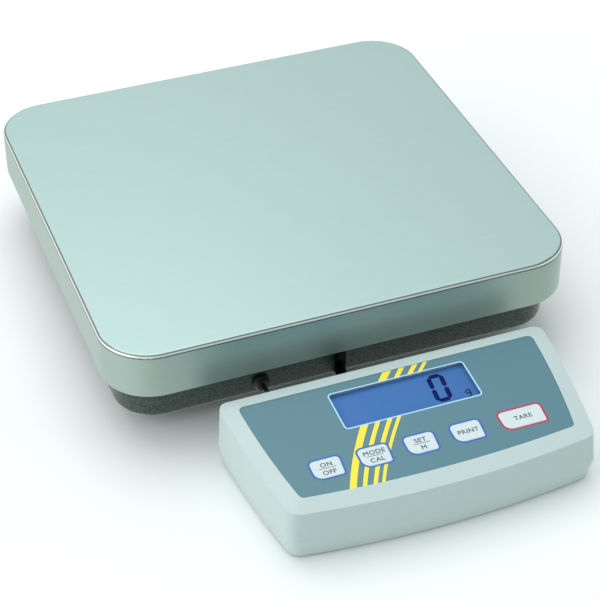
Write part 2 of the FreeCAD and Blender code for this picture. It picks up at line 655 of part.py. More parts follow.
def rounded_wire(sides, setbacks):
    """Join curves into a wire, with a smooth corner that starts setback before each end."""
    edges = []
    for index, side in enumerate(sides):
        start = side.parameterAtDistance(setbacks[index - 1 if index else 3], side.FirstParameter)
        end = side.parameterAtDistance(side.length() - setbacks[index], side.FirstParameter)
        edges.append(side.toShape(start, end))
    corners = [side.value(side.LastParameter) for side in sides]
    loop = []
    for index, edge in enumerate(edges):
        following = edges[(index + 1) % len(edges)]
        bend = Part.BezierCurve()
        bend.setPoles([edge.lastVertex().Point, corners[index], following.firstVertex().Point])
        loop += [edge, bend.toShape()]
    return Part.Wire(loop)


def tilt_wire(wire, above):
    """Drop an outline drawn in plan onto the plane that lies above the tilted face."""
    flat = FreeCAD.Matrix()
    slope = mm(f"tan({TILT})")
    flat.A32 = slope
    flat.A34 = mm(FACE_Z) + above / mm(f"cos({TILT})") - slope * mm(FACE_Y)
    return wire.transformGeometry(flat)


def overlay_outline(above, grow=0.0):
    """The overlay's outline on the tilted face: it narrows forwards and its front edge bows."""
    half_back = mm("display_width / 2 - overlay_side_margin") + grow
    half_front = half_back - mm("overlay_taper")
    back = mm(FACE_Y) + grow
    shoulder = mm(f"{FACE_Y} - {OVERLAY_DEPTH}") - grow
    bow = mm("overlay_side_bow")
    middle = (back + shoulder) / 2
    sides = [
        Part.LineSegment(Vector(-half_back, back), Vector(half_back, back)),
        Part.Arc(Vector(half_back, back), Vector((half_back + half_front) / 2 + bow, middle),
                 Vector(half_front, shoulder)),
        Part.Arc(Vector(half_front, shoulder), Vector(0, shoulder - mm("overlay_bow")),
                 Vector(-half_front, shoulder)),
        Part.Arc(Vector(-half_front, shoulder), Vector(-(half_back + half_front) / 2 - bow, middle),
                 Vector(-half_back, back)),
    ]
    back_corner = mm("overlay_back_corner")
    front_corner = mm("overlay_front_corner")
    wire = rounded_wire(sides, [back_corner, front_corner, front_corner, back_corner])
    wire.translate(Vector(mm(DISPLAY_X), 0, 0))
    return tilt_wire(wire, above)


def prism_between(lower, upper):
    return Part.makeLoft([lower, upper], True, True)


def shell_solid(name, sections, cavity):
    """A housing shell as a lofted outer form less its lofted cavity."""
    outer = prism_between(sections[0], sections[1])
    for lower, upper in zip(sections[1:], sections[2:]):
        outer = outer.fuse(prism_between(lower, upper))
    inner = prism_between(cavity[0], cavity[1])
    for lower, upper in zip(cavity[1:], cavity[2:]):
        inner = inner.fuse(prism_between(lower, upper))
    piece = doc.addObject("Part::Feature", name)
    piece.Shape = outer.cut(inner).removeSplitter()
    return piece


def boss_places():
    """Where the screws join the shells: two near the back and two near the front."""
    return [
        (f"{DISPLAY_X} + {side} * {x}", f"{DISPLAY_BACK} - {forward}")
        for x, forward in ((BOSS_BACK_X, "boss_back"), (BOSS_FRONT_X, "(display_depth - boss_front)"))
        for side in (-1, 1)
    ]


def face_board_screw_places():
    half = "(face_board_width / 2 - post_inset)"
    near = "(face_board_start + post_inset)"
    far = f"(face_board_start + {FACE_BOARD_DEPTH} - post_inset)"
    return [(f"{side} * {half}", forward) for forward in (near, far) for side in (-1, 1)]


def main_board_screw_places():
    half_x = f"({MAIN_BOARD_WIDTH} / 2 - post_inset)"
    half_y = "(main_board_depth / 2 - post_inset)"
    return [
        (f"{MAIN_BOARD_X} + {i} * {half_x}", f"{MAIN_BOARD_Y} + {j} * {half_y}")
        for i, j in CORNERS.values()
    ]


def lower_shell():
    """Bottom half of the housing, with screw bosses, board posts and the battery opening."""
    wall = mm("display_wall")
    ground = mm("display_ground")
    parting = mm("parting_height")
    bottom_inset = mm("bottom_inset")
    shell = shell_solid(
        "lower_shell_blank",
        [shell_outline(ground, bottom_inset, bottom_inset), shell_outline(parting, 0, 0)],
        [shell_outline(ground + wall, bottom_inset + wall, bottom_inset + wall),
         shell_outline(parting + mm("cut_past"), wall, wall)],
    )
    solids = [shell]
    holes = []
    for index, (x, y) in enumerate(boss_places()):
        solids.append(post(f"low_boss_{index}", x, y, "display_ground", "boss_radius",
                           "parting_height - display_ground"))
        holes.append(post(f"low_boss_bore_{index}", x, y, "0", "shell_screw_radius + thread_gap",
                          "display_height"))
        holes.append(post(f"low_boss_recess_{index}", x, y, "0", "shell_screw_head + cover_gap",
                          "display_ground + shell_screw_recess"))
    for index, (x, y) in enumerate(main_board_screw_places()):
        root = "(display_ground + display_wall / 2)"
        solids.append(post(f"board_post_{index}", x, y, root, "post_radius", f"main_board_height - {root}"))
        holes.append(post(f"board_post_bore_{index}", x, y, "main_board_height - small_screw_length",
                          "small_screw_radius", "small_screw_length"))
    holes.append(box_at("cover_seat", BATTERY_X, BATTERY_Y, "display_ground - cut_past",
                        "cover_length + 2 * cover_gap", "cover_width + 2 * cover_gap",
                        "cover_thickness + cut_past"))
    holes.append(box_at("battery_opening", BATTERY_X, BATTERY_Y, "display_ground",
                        "cover_length - 2 * cover_lap", "cover_width - cover_lap",
                        "display_wall + cut_past"))
    holes.append(pin_along_y("inlet_hole", "-inlet_x", f"{DISPLAY_BACK} - display_wall * 2", "inlet_height",
                             "inlet_radius - inlet_lip", "display_wall * 3"))
    node(cut("lower_shell_cut", fuse("lower_shell_solid", solids), holes), "lower_shell")


def upper_shell():
    """Top half of the housing: a bezel slopes round the sunken face panel."""
    wall = mm("display_wall")
    parting = mm("parting_height")
    crease = mm("crease_inset")
    rim = mm("overlay_recess")
    drop = mm("crease_drop")
    shell = shell_solid(
        "upper_shell_blank",
        [shell_outline(parting, 0, 0), shell_outline(rim - drop, crease, 0, True), rim_outline(rim)],
        [shell_outline(parting - mm("cut_past"), wall, wall),
         shell_outline(mm(PANEL_BOTTOM), crease + wall, wall, True)],
    )
    solids = [shell]
    holes = []
    for index, (x, y) in enumerate(boss_places()):
        solids.append(boss_to_panel(f"high_boss_{index}", x, y, parting))
        holes.append(post(f"high_boss_bore_{index}", x, y, "parting_height - cut_past",
                          "shell_screw_radius", "display_ground + shell_screw_recess + shell_screw_length"
                          " - parting_height + 2 * cut_past"))
    post_height = f"({PANEL_BOTTOM} - {FACE_BOARD_TOP})"
    for index, (across, forward) in enumerate(face_board_screw_places()):
        solids.append(face_post(f"face_post_{index}", across, forward, FACE_BOARD_TOP, "post_radius",
                                f"{post_height} + panel_thickness / 4"))
        holes.append(face_post(f"face_post_bore_{index}", across, forward, f"{FACE_BOARD_TOP} - cut_past",
                               "small_screw_radius", "small_screw_length - board_thickness + 2 * cut_past"))
    recess = doc.addObject("Part::Feature", "overlay_seat")
    gap = mm("overlay_gap")
    recess.Shape = prism_between(overlay_outline(mm(PANEL_TOP), gap),
                                 overlay_outline(rim + 2 * mm("cut_past"), gap))
    holes.append(recess)
    through_panel = "panel_thickness + 2 * cut_past"
    under_panel = f"{PANEL_BOTTOM} - cut_past"
    holes.append(face_box("window_seat", "-window_shift", "window_offset", under_panel,
                          "window_width + 2 * (window_lip + window_gap)",
                          "window_depth + 2 * (window_lip + window_gap)", through_panel))
    for name, (across, width) in KEYS.items():
        holes.append(face_box(f"{name}_opening", across, KEY_ROW, under_panel,
                              f"{width} + 4 * key_gap", "key_tall + 4 * key_gap", through_panel))
    holes.append(box_at("serial_opening", SERIAL_X, DISPLAY_BACK,
                        f"{SERIAL_Z} - serial_shell_height / 2 - cover_gap",
                        "serial_shell_width + 2 * cover_gap", "display_wall * 4",
                        "serial_shell_height + 2 * cover_gap"))
    holes.append(pin_along_y("jack_opening", JACK_X, f"{DISPLAY_BACK} - display_wall * 2", JACK_Z,
                             "jack_radius + cover_gap", "display_wall * 3"))
    for index, height in enumerate(strap_screw_heights()):
        holes.append(pin_along_y(f"strap_thread_{index}", "-strap_x", f"{DISPLAY_BACK} - display_wall * 2",
                                 height, "strap_screw_radius", "display_wall * 3"))
    node(cut("upper_shell_cut", fuse("upper_shell_solid", solids), holes), "upper_shell")


def rim_outline(above):
    """The bezel's inner edge, which stands all round the overlay."""
    return overlay_outline(above, mm("bezel_rim"))


def boss_to_panel(name, x, y, bottom):
    """A boss that runs from the parting line up to the underside of the face panel."""
    centre = Vector(mm(x), mm(y), bottom)
    column = Part.makeCylinder(mm("boss_radius"), mm("display_height"), centre)
    inside = mm("crease_inset + display_wall / 2")
    below = prism_between(shell_outline(bottom, inside, inside),
                          shell_outline(mm(f"{PANEL_BOTTOM} + panel_thickness / 4"), inside, inside, True))
    piece = doc.addObject("Part::Feature", name)
    piece.Shape = column.common(below)
    return piece


def keypad_overlay():
    """Printed film with a window opening and an opening round each key."""
    film = doc.addObject("Part::Feature", "overlay_film")
    film.Shape = prism_between(overlay_outline(mm(PANEL_TOP)), overlay_outline(0))
    below = "-overlay_thickness - cut_past"
    through = "overlay_thickness + 2 * cut_past"
    holes = [face_box("film_window", "-window_shift", "window_offset", below, "window_width",
                      "window_depth", through)]
    for name, (across, width) in KEYS.items():
        holes.append(key_form(f"{name}_film_opening", across, width, "key_gap", below, through))
    node(cut("keypad_overlay_cut", film, holes), "keypad_overlay")


def key_form(name, across, width, grow, above, height):
    """A key's outline: a straight left edge, a leaning right one, a broad curve at its front left."""
    owner = body(name)
    plan = sketch(owner, f"{name}_plan")
    half = f"({width} / 2 + {grow})"
    deep = f"(key_tall / 2 + {grow})"
    outline(plan, [(f"-{half}", f"-{deep}"), (f"{half} - key_lean", f"-{deep}"), (half, deep),
                   (f"-{half}", deep)])
    block = pad(owner, plan, height)
    broad = round_edges(owner, block, near_corner(mm(f"-{half}"), mm(f"-{deep}")),
                        f"key_broad_corner + {grow}")
    near = round_edges(owner, broad, near_corner(mm(f"{half} - key_lean"), mm(f"-{deep}")),
                       f"key_near_corner + {grow}")
    back = near_corner(mm(half), mm(deep))
    back_left = near_corner(mm(f"-{half}"), mm(deep))
    round_edges(owner, near, lambda edge: back(edge) or back_left(edge), f"key_back_corner + {grow}")
    return place_on_face(owner, across, KEY_ROW, above)


def near_corner(x, y):
    return lambda edge: is_upright(edge) and edge.Vertexes[0].Point.distanceToPoint(
        Vector(x, y, edge.Vertexes[0].Z)) < 1e-3


def keys():
    """Each key is the embossed patch of film and the actuator pad bonded under it."""
    reach = f"(-{FACE_BOARD_TOP} - switch_height - key_travel - actuator_gap)"
    for name, (across, width) in KEYS.items():
        patch = key_form(f"{name}_patch", across, width, "0", PANEL_TOP, "overlay_thickness + key_emboss")
        actuator = face_post(f"{name}_actuator", across, KEY_ROW, f"-{reach}", "actuator_radius", reach)
        node(fuse(name, [patch, actuator]), name)


def display_electronics():
    """Window, glass and backlight over the face board, with a switch under each key."""
    lens = face_box("lcd_window_lens", "-window_shift", "window_offset", f"{PANEL_TOP} - window_thickness",
                    "window_width + 2 * window_lip", "window_depth + 2 * window_lip", "window_thickness")
    node(lens, "lcd_window")
    glass = face_box("lcd_glass_plate", "-window_shift", "window_offset", BACKLIGHT_TOP,
                     "window_width + 2 * glass_border", "window_depth + 2 * glass_border", "glass_thickness")
    node(glass, "lcd_glass")
    guide = face_box("lcd_light_guide", "-window_shift", "window_offset", FACE_BOARD_TOP,
                     "window_width + 2 * glass_border", "window_depth + 2 * glass_border",
                     "backlight_thickness")
    node(guide, "lcd_backlight")
    under = f"({FACE_BOARD_TOP} - board_thickness)"
    board = face_box("face_board_blank", "0", f"face_board_start + {FACE_BOARD_DEPTH} / 2", under,
                     "face_board_width", FACE_BOARD_DEPTH, "board_thickness")
    holes = []
    screws = []
    for index, (across, forward) in enumerate(face_board_screw_places()):
        holes.append(face_post(f"face_board_hole_{index}", across, forward, f"{under} - cut_past",
                               "small_screw_radius + thread_gap", "board_thickness + 2 * cut_past"))
        head = face_post(f"face_screw_head_{index}", across, forward, f"{under} - small_screw_head_height",
                         "small_screw_head", "small_screw_head_height")
        shank = face_post(f"face_screw_shank_{index}", across, forward, under, "small_screw_radius",
                          "small_screw_length")
        screws.append(fuse(f"face_screw_{index}", [head, shank]))
    node(cut("face_board_drilled", board, holes), "display_board")
    node(group("display_board_screws", screws), "display_board_screws")
    switches = []
    for name, (across, _) in KEYS.items():
        switches.append(face_box(f"{name}_switch", across, KEY_ROW, FACE_BOARD_TOP,
                                 "switch_width", "switch_width", "switch_height"))
    node(group("key_switches", switches), "key_switches")


def main_electronics():
    """Main board with its chips, capacitors and sockets, on posts in the lower shell."""
    board = box_at("main_board_blank", MAIN_BOARD_X, MAIN_BOARD_Y, "main_board_height", MAIN_BOARD_WIDTH,
                   "main_board_depth", "board_thickness")
    holes = []
    screws = []
    for index, (x, y) in enumerate(main_board_screw_places()):
        holes.append(post(f"main_board_hole_{index}", x, y, "main_board_height - cut_past",
                          "small_screw_radius + thread_gap", "board_thickness + 2 * cut_past"))
        head = post(f"main_screw_head_{index}", x, y, MAIN_BOARD_TOP, "small_screw_head",
                    "small_screw_head_height")
        shank = post(f"main_screw_shank_{index}", x, y, f"{MAIN_BOARD_TOP} - small_screw_length",
                     "small_screw_radius", "small_screw_length")
        screws.append(fuse(f"main_screw_{index}", [head, shank]))
    node(cut("main_board_drilled", board, holes), "main_board")
    node(group("main_board_screws", screws), "main_board_screws")
    left = f"({DISPLAY_X} - main_board_left)"
    right = f"({left} + {MAIN_BOARD_WIDTH})"
    front = f"({MAIN_BOARD_Y} - main_board_depth / 2)"
    # each chip: its steps from the board's front left corner, then its width and depth
    chips = [
        ("converter", 19, 15, "converter_width", "converter_depth"),
        ("processor", 41, 13, "processor_width", "processor_width"),
        ("driver", 61, 15, "driver_width", "driver_depth"),
    ]
    node(group("board_chips", [
        box_at(f"chip_{name}", f"{left} + {right_by}", f"{front} + {back_by}", MAIN_BOARD_TOP, width, depth,
               "chip_height")
        for name, right_by, back_by, width, depth in chips
    ]), "board_chips")
    capacitors = [
        post(f"capacitor_{index}", f"{right} - capacitor_inset",
             f"{front} + capacitor_radius + 1 + {index} * capacitor_pitch", MAIN_BOARD_TOP,
             "capacitor_radius", "capacitor_height")
        for index in range(3)
    ]
    node(group("board_capacitors", capacitors), "board_capacitors")
    header_x, header_y = header_place()
    node(box_at("cable_header", header_x, header_y, MAIN_BOARD_TOP, "header_width", "header_depth",
                "header_height"), "cable_connector")
    serial()
    jack()


def header_place():
    """Middle of the connector on the main board that the display's lead plugs into."""
    x = f"{DISPLAY_X} - main_board_left + header_inset"
    return x, f"{MAIN_BOARD_Y} + header_depth / 2"


def serial():
    """Nine-pin socket for the printer: its shell shows through the back wall."""
    flange = box_at("serial_flange", SERIAL_X, f"{INNER_BACK} - socket_setback - serial_depth / 2",
                    MAIN_BOARD_TOP, "serial_width", "serial_depth", "serial_height")
    shell = box_at("serial_shell", SERIAL_X, f"{INNER_BACK} - socket_setback + display_wall / 2",
                   f"{SERIAL_Z} - serial_shell_height / 2", "serial_shell_width", "display_wall",
                   "serial_shell_height")
    mouth = box_at("serial_mouth", SERIAL_X, DISPLAY_BACK,
                   f"{SERIAL_Z} - serial_shell_height / 2 + serial_shell_wall",
                   "serial_shell_width - 2 * serial_shell_wall", "2 * display_wall",
                   "serial_shell_height - 2 * serial_shell_wall")
    node(cut("serial_socket_cut", fuse("serial_solid", [flange, shell]), [mouth]), "serial_socket")


def jack():
    """Round mains-adapter socket behind its hole in the back wall."""
    front = f"({INNER_BACK} - socket_setback)"
    block = box_at("jack_block", JACK_X, f"{front} - jack_depth / 2", MAIN_BOARD_TOP, "jack_width",
                   "jack_depth", "jack_height")
    nose = pin_along_y("jack_nose", JACK_X, front, JACK_Z, "jack_radius", "display_wall")
    mouth = pin_along_y("jack_mouth", JACK_X, f"{front} - jack_bore_depth", JACK_Z, "jack_bore_radius",
                        "jack_bore_depth + display_wall")
    tip = pin_along_y("jack_tip", JACK_X, f"{front} - jack_bore_depth", JACK_Z, "jack_tip_radius",
                      "jack_bore_depth")
    hollowed = cut("jack_hollowed", fuse("jack_solid", [block, nose]), [mouth])
    node(fuse("jack_socket_whole", [hollowed, tip]), "jack_socket")


def battery():
    """Nine-volt block in its well, its snap, and the cover that closes the well from below."""
    battery_x = f"({BATTERY_X} + snap_thickness / 2)"
    bottom = f"({INNER_FLOOR} + cover_gap)"
    node(box_at("battery_block", battery_x, BATTERY_Y, bottom, "battery_length", "battery_width",
                "battery_thickness"), "battery")
    snap_x = f"{battery_x} - battery_length / 2 - snap_thickness / 2"
    node(box_at("battery_snap_block", snap_x, BATTERY_Y, bottom, "snap_thickness", "battery_width",
                "battery_thickness"), "battery_snap")
    plate = box_at("cover_plate", BATTERY_X, BATTERY_Y, "display_ground", "cover_length", "cover_width",
                   "cover_thickness - cover_gap / 2")
    grip = box_at("cover_grip", BATTERY_X, f"{BATTERY_Y} + cover_width / 2 - 2 * cover_grip_depth",
                  "display_ground - cut_past", "cover_grip_width", "cover_grip_depth",
                  "cover_grip_cut + cut_past")
    node(cut("battery_cover_cut", plate, [grip]), "battery_cover")


def display_fasteners():
    screws = []
    for index, (x, y) in enumerate(boss_places()):
        seat = "(display_ground + shell_screw_recess)"
        head = post(f"shell_screw_head_{index}", x, y, f"{seat} - shell_screw_head_height",
                    "shell_screw_head", "shell_screw_head_height")
        shank = post(f"shell_screw_shank_{index}", x, y, seat, "shell_screw_radius", "shell_screw_length")
        screws.append(fuse(f"shell_screw_{index}", [head, shank]))
    node(group("shell_screws", screws), "shell_screws")
    feet = [
        post(f"display_foot_{index}", x, y, "0", "display_foot_radius", "display_ground")
        for index, (x, y) in enumerate(display_foot_places())
    ]
    node(group("display_feet", feet), "display_feet")


def display_foot_places():
    return [
        (f"{DISPLAY_X} + {side} * ({x} - display_foot_inset)", f"{DISPLAY_BACK} - {forward}")
        for x, forward in ((BOSS_BACK_X, "boss_back"), (BOSS_FRONT_X, "(display_depth - boss_front)"))
        for side in (-1, 1)
    ]


# ---------------------------------------------------------------- bracket, cable and glands
def bracket():
    """Strap bent up at both ends: screwed to the casing's front and to the housing's back."""
    owner = body("bracket_strap")
    side = sketch(owner, "strap_side", "YZ_Plane")
    thick = "strap_thickness"
    past = "cut_past"
    near = BASE_FRONT
    far = DISPLAY_BACK
    low = "strap_height"
    outline(side, [
        (far, low), (near, low), (near, f"{low} + strap_base_leg"),
        (f"{near} - {thick}", f"{low} + strap_base_leg"), (f"{near} - {thick}", f"{low} + {thick}"),
        (f"{far} + {thick}", f"{low} + {thick}"), (f"{far} + {thick}", f"{low} + strap_display_leg"),
        (far, f"{low} + strap_display_leg"),
    ])
    pad(owner, side, "strap_width")
    place(owner, "-strap_x - strap_width / 2", "0", "0")
    holes = []
    screws = []
    for index, height in enumerate(strap_screw_heights()):
        holes.append(pin_along_y(f"strap_hole_base_{index}", "-strap_x", f"{BASE_FRONT} - {thick} - {past}",
                                 height, "strap_screw_radius", f"{thick} + 2 * {past}"))
        head = pin_along_y(f"base_screw_head_{index}", "-strap_x", 
                           f"{BASE_FRONT} - {thick} - strap_screw_head_height", height,
                           "strap_screw_head", "strap_screw_head_height")
        shank = pin_along_y(f"base_screw_shank_{index}", "-strap_x", f"{BASE_FRONT} - {thick}", height,
                            "strap_screw_radius", "strap_screw_length")
        screws.append(fuse(f"base_strap_screw_{index}", [head, shank]))
        holes.append(pin_along_y(f"strap_hole_display_{index}", "-strap_x", f"{DISPLAY_BACK} - {past}",
                                 height, "strap_screw_radius", f"{thick} + 2 * {past}"))
        head = pin_along_y(f"display_screw_head_{index}", "-strap_x", f"{DISPLAY_BACK} + {thick}", height,
                           "strap_screw_head", "strap_screw_head_height")
        shank = pin_along_y(f"display_screw_shank_{index}", "-strap_x",
                            f"{DISPLAY_BACK} + {thick} - strap_screw_length", height,
                            "strap_screw_radius", "strap_screw_length")
        screws.append(fuse(f"display_strap_screw_{index}", [head, shank]))
    node(cut("bracket_arm_drilled", owner, holes), "bracket_arm")
    node(group("bracket_screws", screws), "bracket_screws")


def glands():
    """Strain relief in the casing's front wall with its nut, and the housing's cable inlet."""
    x = "-gland_x"
    z = "gland_height"
    inner_end = "gland_reach + base_wall + gland_nut_height + gland_thread_past"
    relief = turned("cable_gland_body", [
        ("cable_radius", "0"), ("gland_radius - gland_nose", "0"),
        ("gland_radius", "gland_reach - gland_collar"), ("gland_radius", "gland_reach"),
        ("gland_thread_radius", "gland_reach"), ("gland_thread_radius", inner_end),
        ("cable_radius", inner_end),
    ])
    turn(relief, Vector(1, 0, 0), -90)
    node(place(relief, x, f"{BASE_FRONT} - gland_reach", z), "cable_gland")
    blank = pin_along_y("gland_nut_blank", x, f"{BASE_FRONT} + base_wall", z, "gland_nut_radius",
                        "gland_nut_height")
    thread = pin_along_y("gland_nut_thread", x, f"{BASE_FRONT} + base_wall", z, "gland_thread_radius",
                         "gland_nut_height")
    node(cut("gland_nut_cut", blank, [thread]), "gland_nut")
    inlet_end = "2 * inlet_lip + display_wall"
    grommet = turned("cable_inlet_body", [
        ("cable_radius", "0"), ("inlet_radius", "0"), ("inlet_radius", "inlet_lip"),
        ("inlet_radius - inlet_lip", "inlet_lip"), ("inlet_radius - inlet_lip", inlet_end),
        ("cable_radius", inlet_end),
    ])
    turn(grommet, Vector(1, 0, 0), 90)
    node(place(grommet, "-inlet_x", f"{DISPLAY_BACK} + inlet_lip", "inlet_height"), "cable_inlet")


def routed_tube(name, route, radius):
    """A cable along straight runs joined by tangent arcs, each as large as its runs allow."""
    tangent = 0.45
    edges = []
    radii = []
    start = route[0]
    for before, corner, after in zip(route, route[1:], route[2:]):
        arriving = (corner - before).normalize()
        leaving = (after - corner).normalize()
        setback = tangent * min(corner.distanceToPoint(before), corner.distanceToPoint(after))
        half_turn = arriving.getAngle(leaving) / 2
        entry = corner - arriving * setback
        leave = corner + leaving * setback
        bend_radius = setback / mm(f"tan({half_turn} * 1 rad)")
        radii.append(round(bend_radius, 1))
        sagitta = bend_radius * (1 / mm(f"cos({half_turn} * 1 rad)") - 1)
        inward = (leaving - arriving).normalize()
        edges.append(Part.LineSegment(start, entry).toShape())
        edges.append(Part.Arc(entry, corner + inward * sagitta, leave).toShape())
        start = leave
    edges.append(Part.LineSegment(start, route[-1]).toShape())
    path = Part.Wire(edges)
    first = (route[1] - route[0]).normalize()
    section = Part.Wire(Part.makeCircle(radius, route[0], first))
    piece = doc.addObject("Part::Feature", name)
    piece.Shape = path.makePipeShell([section], True, False)
    expected = path.Length * section.Length * radius / 2
    if abs(piece.Shape.Volume / expected - 1) > 0.01:
        raise RuntimeError(f"{name} is not a clean tube")
    print(f"{name}: length {path.Length:.1f} mm, bend radii {radii}")
    return piece


def cables():
    """The free cable between the housings, and the leads inside each of them."""
    radius = mm("cable_radius")
    gland = Vector(-mm("gland_x"), mm(f"{BASE_FRONT} - gland_reach"), mm("gland_height"))
    inlet = Vector(-mm("inlet_x"), mm(f"{DISPLAY_BACK} + inlet_lip"), mm("inlet_height"))
    free_route = [
        gland,
        gland + Vector(0, -4.5, 0),
        gland + Vector(1.0, -8.9, -2.1),
        gland + Vector(3.3, -13.2, -6.7),
        inlet + Vector(-0.9, 8.2, 1.9),
        inlet + Vector(0, 3.9, 0),
        inlet,
    ]
    node(routed_tube("signal_cable_tube", free_route, radius), "signal_cable")
    back_y = mm(f"{BASE_FRONT} + base_wall")
    cell_end = Vector(-mm("cell_length") / 2, mm(PLATFORM_Y), mm(f"{CELL_BOTTOM} + cell_lead_height"))
    inner_route = [
        cell_end,
        cell_end + Vector(-13, 0, 0),
        cell_end + Vector(-24, -12, -3),
        cell_end + Vector(-24, -34, -6),
        Vector(gland.x - 15, back_y + 58, gland.z + 1),
        Vector(gland.x - 5, back_y + 36, gland.z),
        Vector(gland.x, back_y + 14, gland.z),
        gland,
    ]
    node(routed_tube("load_cell_lead_tube", inner_route, radius), "load_cell_lead")
    header_x, header_y = header_place()
    end = Vector(mm(f"{header_x} - header_width / 2"), mm(header_y),
                 mm(f"{MAIN_BOARD_TOP} + header_height / 2"))
    lead_route = [
        inlet,
        inlet + Vector(0, -12, 0),
        inlet + Vector(7, -19, 3),
        end + Vector(-18, -2, -2),
        end + Vector(-8, 0, 0),
        end,
    ]
    node(routed_tube("display_lead_tube", lead_route, radius), "display_lead")


# ---------------------------------------------------------------- build
weighing_pan()
base_casing()
load_cell()
spacer("lower_spacer", -1, FLOOR_TOP, "lower_spacer_height")
spacer("upper_spacer", 1, CELL_TOP, "upper_spacer_height")
cell_screws()
carrier_frame()
for cushion_name, cushion_x, cushion_y in cushion_places():
    pan_cushion(cushion_name, cushion_x, cushion_y)
overload_stops()
for foot_name, foot_x, foot_y in foot_places():
    levelling_foot(foot_name, foot_x, foot_y)
foot_threads()
spirit_level()
lower_shell()
upper_shell()
keypad_overlay()
keys()
display_electronics()
main_electronics()
battery()
display_fasteners()
bracket()
glands()
cables()
doc.recompute()

for piece in doc.Objects:
    if "Invalid" in piece.State or "Error" in piece.State:
        raise RuntimeError(f"{piece.Label} failed to build: {piece.State}")
for piece in nodes:
    if piece.Shape.isNull() or not piece.Shape.isValid():
        raise RuntimeError(f"{piece.Label} has no valid shape")

os.makedirs("parts", exist_ok=True)
for piece in nodes:
    piece.Shape.exportStep(f"parts/{piece.Label}.step")
print(f"{len(nodes)} sub-parts written")
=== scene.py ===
# %% [markdown]
# # Animal weighing scale
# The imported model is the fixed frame: every piece of the scale already has its place and its
# body. This notebook gives those pieces their finishes, and builds the small pieces that need
# more detail than the frame's own solids have. Everything is in metres.

# %% Load the frame
import json
import math

import bmesh
import bpy
from mathutils import Matrix, Vector


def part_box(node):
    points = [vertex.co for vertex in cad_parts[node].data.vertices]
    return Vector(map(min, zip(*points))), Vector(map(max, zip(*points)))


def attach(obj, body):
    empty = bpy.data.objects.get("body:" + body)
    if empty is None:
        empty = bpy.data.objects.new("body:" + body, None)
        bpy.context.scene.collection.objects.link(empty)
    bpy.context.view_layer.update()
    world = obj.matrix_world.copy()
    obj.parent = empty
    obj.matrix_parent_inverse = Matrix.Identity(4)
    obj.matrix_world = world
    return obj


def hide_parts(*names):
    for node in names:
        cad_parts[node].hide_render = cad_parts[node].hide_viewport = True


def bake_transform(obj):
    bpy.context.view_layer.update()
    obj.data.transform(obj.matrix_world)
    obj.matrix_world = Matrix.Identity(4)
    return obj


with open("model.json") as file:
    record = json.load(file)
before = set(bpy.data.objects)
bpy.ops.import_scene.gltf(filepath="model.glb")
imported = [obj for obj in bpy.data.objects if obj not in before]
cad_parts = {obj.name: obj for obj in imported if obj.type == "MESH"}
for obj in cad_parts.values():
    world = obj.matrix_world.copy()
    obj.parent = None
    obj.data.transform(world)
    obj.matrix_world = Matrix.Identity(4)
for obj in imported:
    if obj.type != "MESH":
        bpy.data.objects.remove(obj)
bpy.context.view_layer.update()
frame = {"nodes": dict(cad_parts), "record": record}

# %% [markdown]
# ## Working values
# Small sizes are easier to read in millimetres, so `MM` turns them into metres. The display's
# face is a plane tilted 4 degrees: it is low at the front. Keys, digits and legends are drawn
# flat and then carried onto that plane by one matrix. On the face, across runs to the right
# from the display's middle, and forward runs from the overlay's back edge towards the user.

# %% Millimetres and the tilted face
MM = 0.001
TILT = math.radians(4)
overlay_low, overlay_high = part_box("keypad_overlay")
FACE_ORIGIN = Vector(((overlay_low.x + overlay_high.x) / 2, overlay_high.y, overlay_high.z))
FACE = Matrix.Translation(FACE_ORIGIN) @ Matrix.Rotation(TILT, 4, "X")


def on_face(across, forward, above=0.0):
    """The matrix that carries a flat drawing to a place on the face, all in millimetres."""
    return FACE @ Matrix.Translation((across * MM, -forward * MM, above * MM))


print("face starts at", [round(value, 4) for value in FACE_ORIGIN])

# %% [markdown]
# ## Camera
# The camera stands to the left of the display and looks down on the pan. A short lens
# would make the near corner loom, so this one is long, and the pan's sides hardly converge.

# %% Camera
CAMERA_PLACE = Vector((-0.3592, -0.9508, 0.8122))
CAMERA_YAW = math.radians(-20.49)
CAMERA_DOWN = math.radians(38.01)
CAMERA_ROLL = math.radians(-0.29)
VIEW_ANGLE = math.radians(18.04)

camera = bpy.data.objects.new("camera", bpy.data.cameras.new("camera"))
bpy.context.scene.collection.objects.link(camera)
camera.matrix_world = (
    Matrix.Translation(CAMERA_PLACE)
    @ Matrix.Rotation(CAMERA_YAW, 4, "Z")
    @ Matrix.Rotation(math.pi / 2 - CAMERA_DOWN, 4, "X")
    @ Matrix.Rotation(CAMERA_ROLL, 4, "Z")
)
camera.data.lens_unit = "FOV"
camera.data.angle = VIEW_ANGLE
bpy.context.scene.camera = camera
print("camera at", [round(value, 3) for value in CAMERA_PLACE], "m")

# %% [markdown]
# ## Adding nodes
# A material is a small network of nodes. One function adds a node, sets it up and fills its
# inputs: a socket is linked, a hex code becomes a colour, and anything else is set as a value.
# Colours are given as sRGB codes, as a paint shop would, and turned into linear values.

# %% Node and colour helpers
def srgb(code):
    """Linear colour from an sRGB hex code."""
    parts = [int(code[start:start + 2], 16) / 255 for start in (0, 2, 4)]
    return [p / 12.92 if p <= 0.04045 else ((p + 0.055) / 1.055) ** 2.4 for p in parts] + [1.0]


def add(material, kind, inputs=None, **settings):
    """Add a node to a material or the world, with its settings, values and links."""
    tree = material.node_tree
    made = tree.nodes.new(kind)
    for name, value in settings.items():
        setattr(made, name, value)
    for name, value in (inputs or {}).items():
        if isinstance(value, bpy.types.NodeSocket):
            tree.links.new(value, made.inputs[name])
        else:
            made.inputs[name].default_value = srgb(value) if isinstance(value, str) else value
    return made


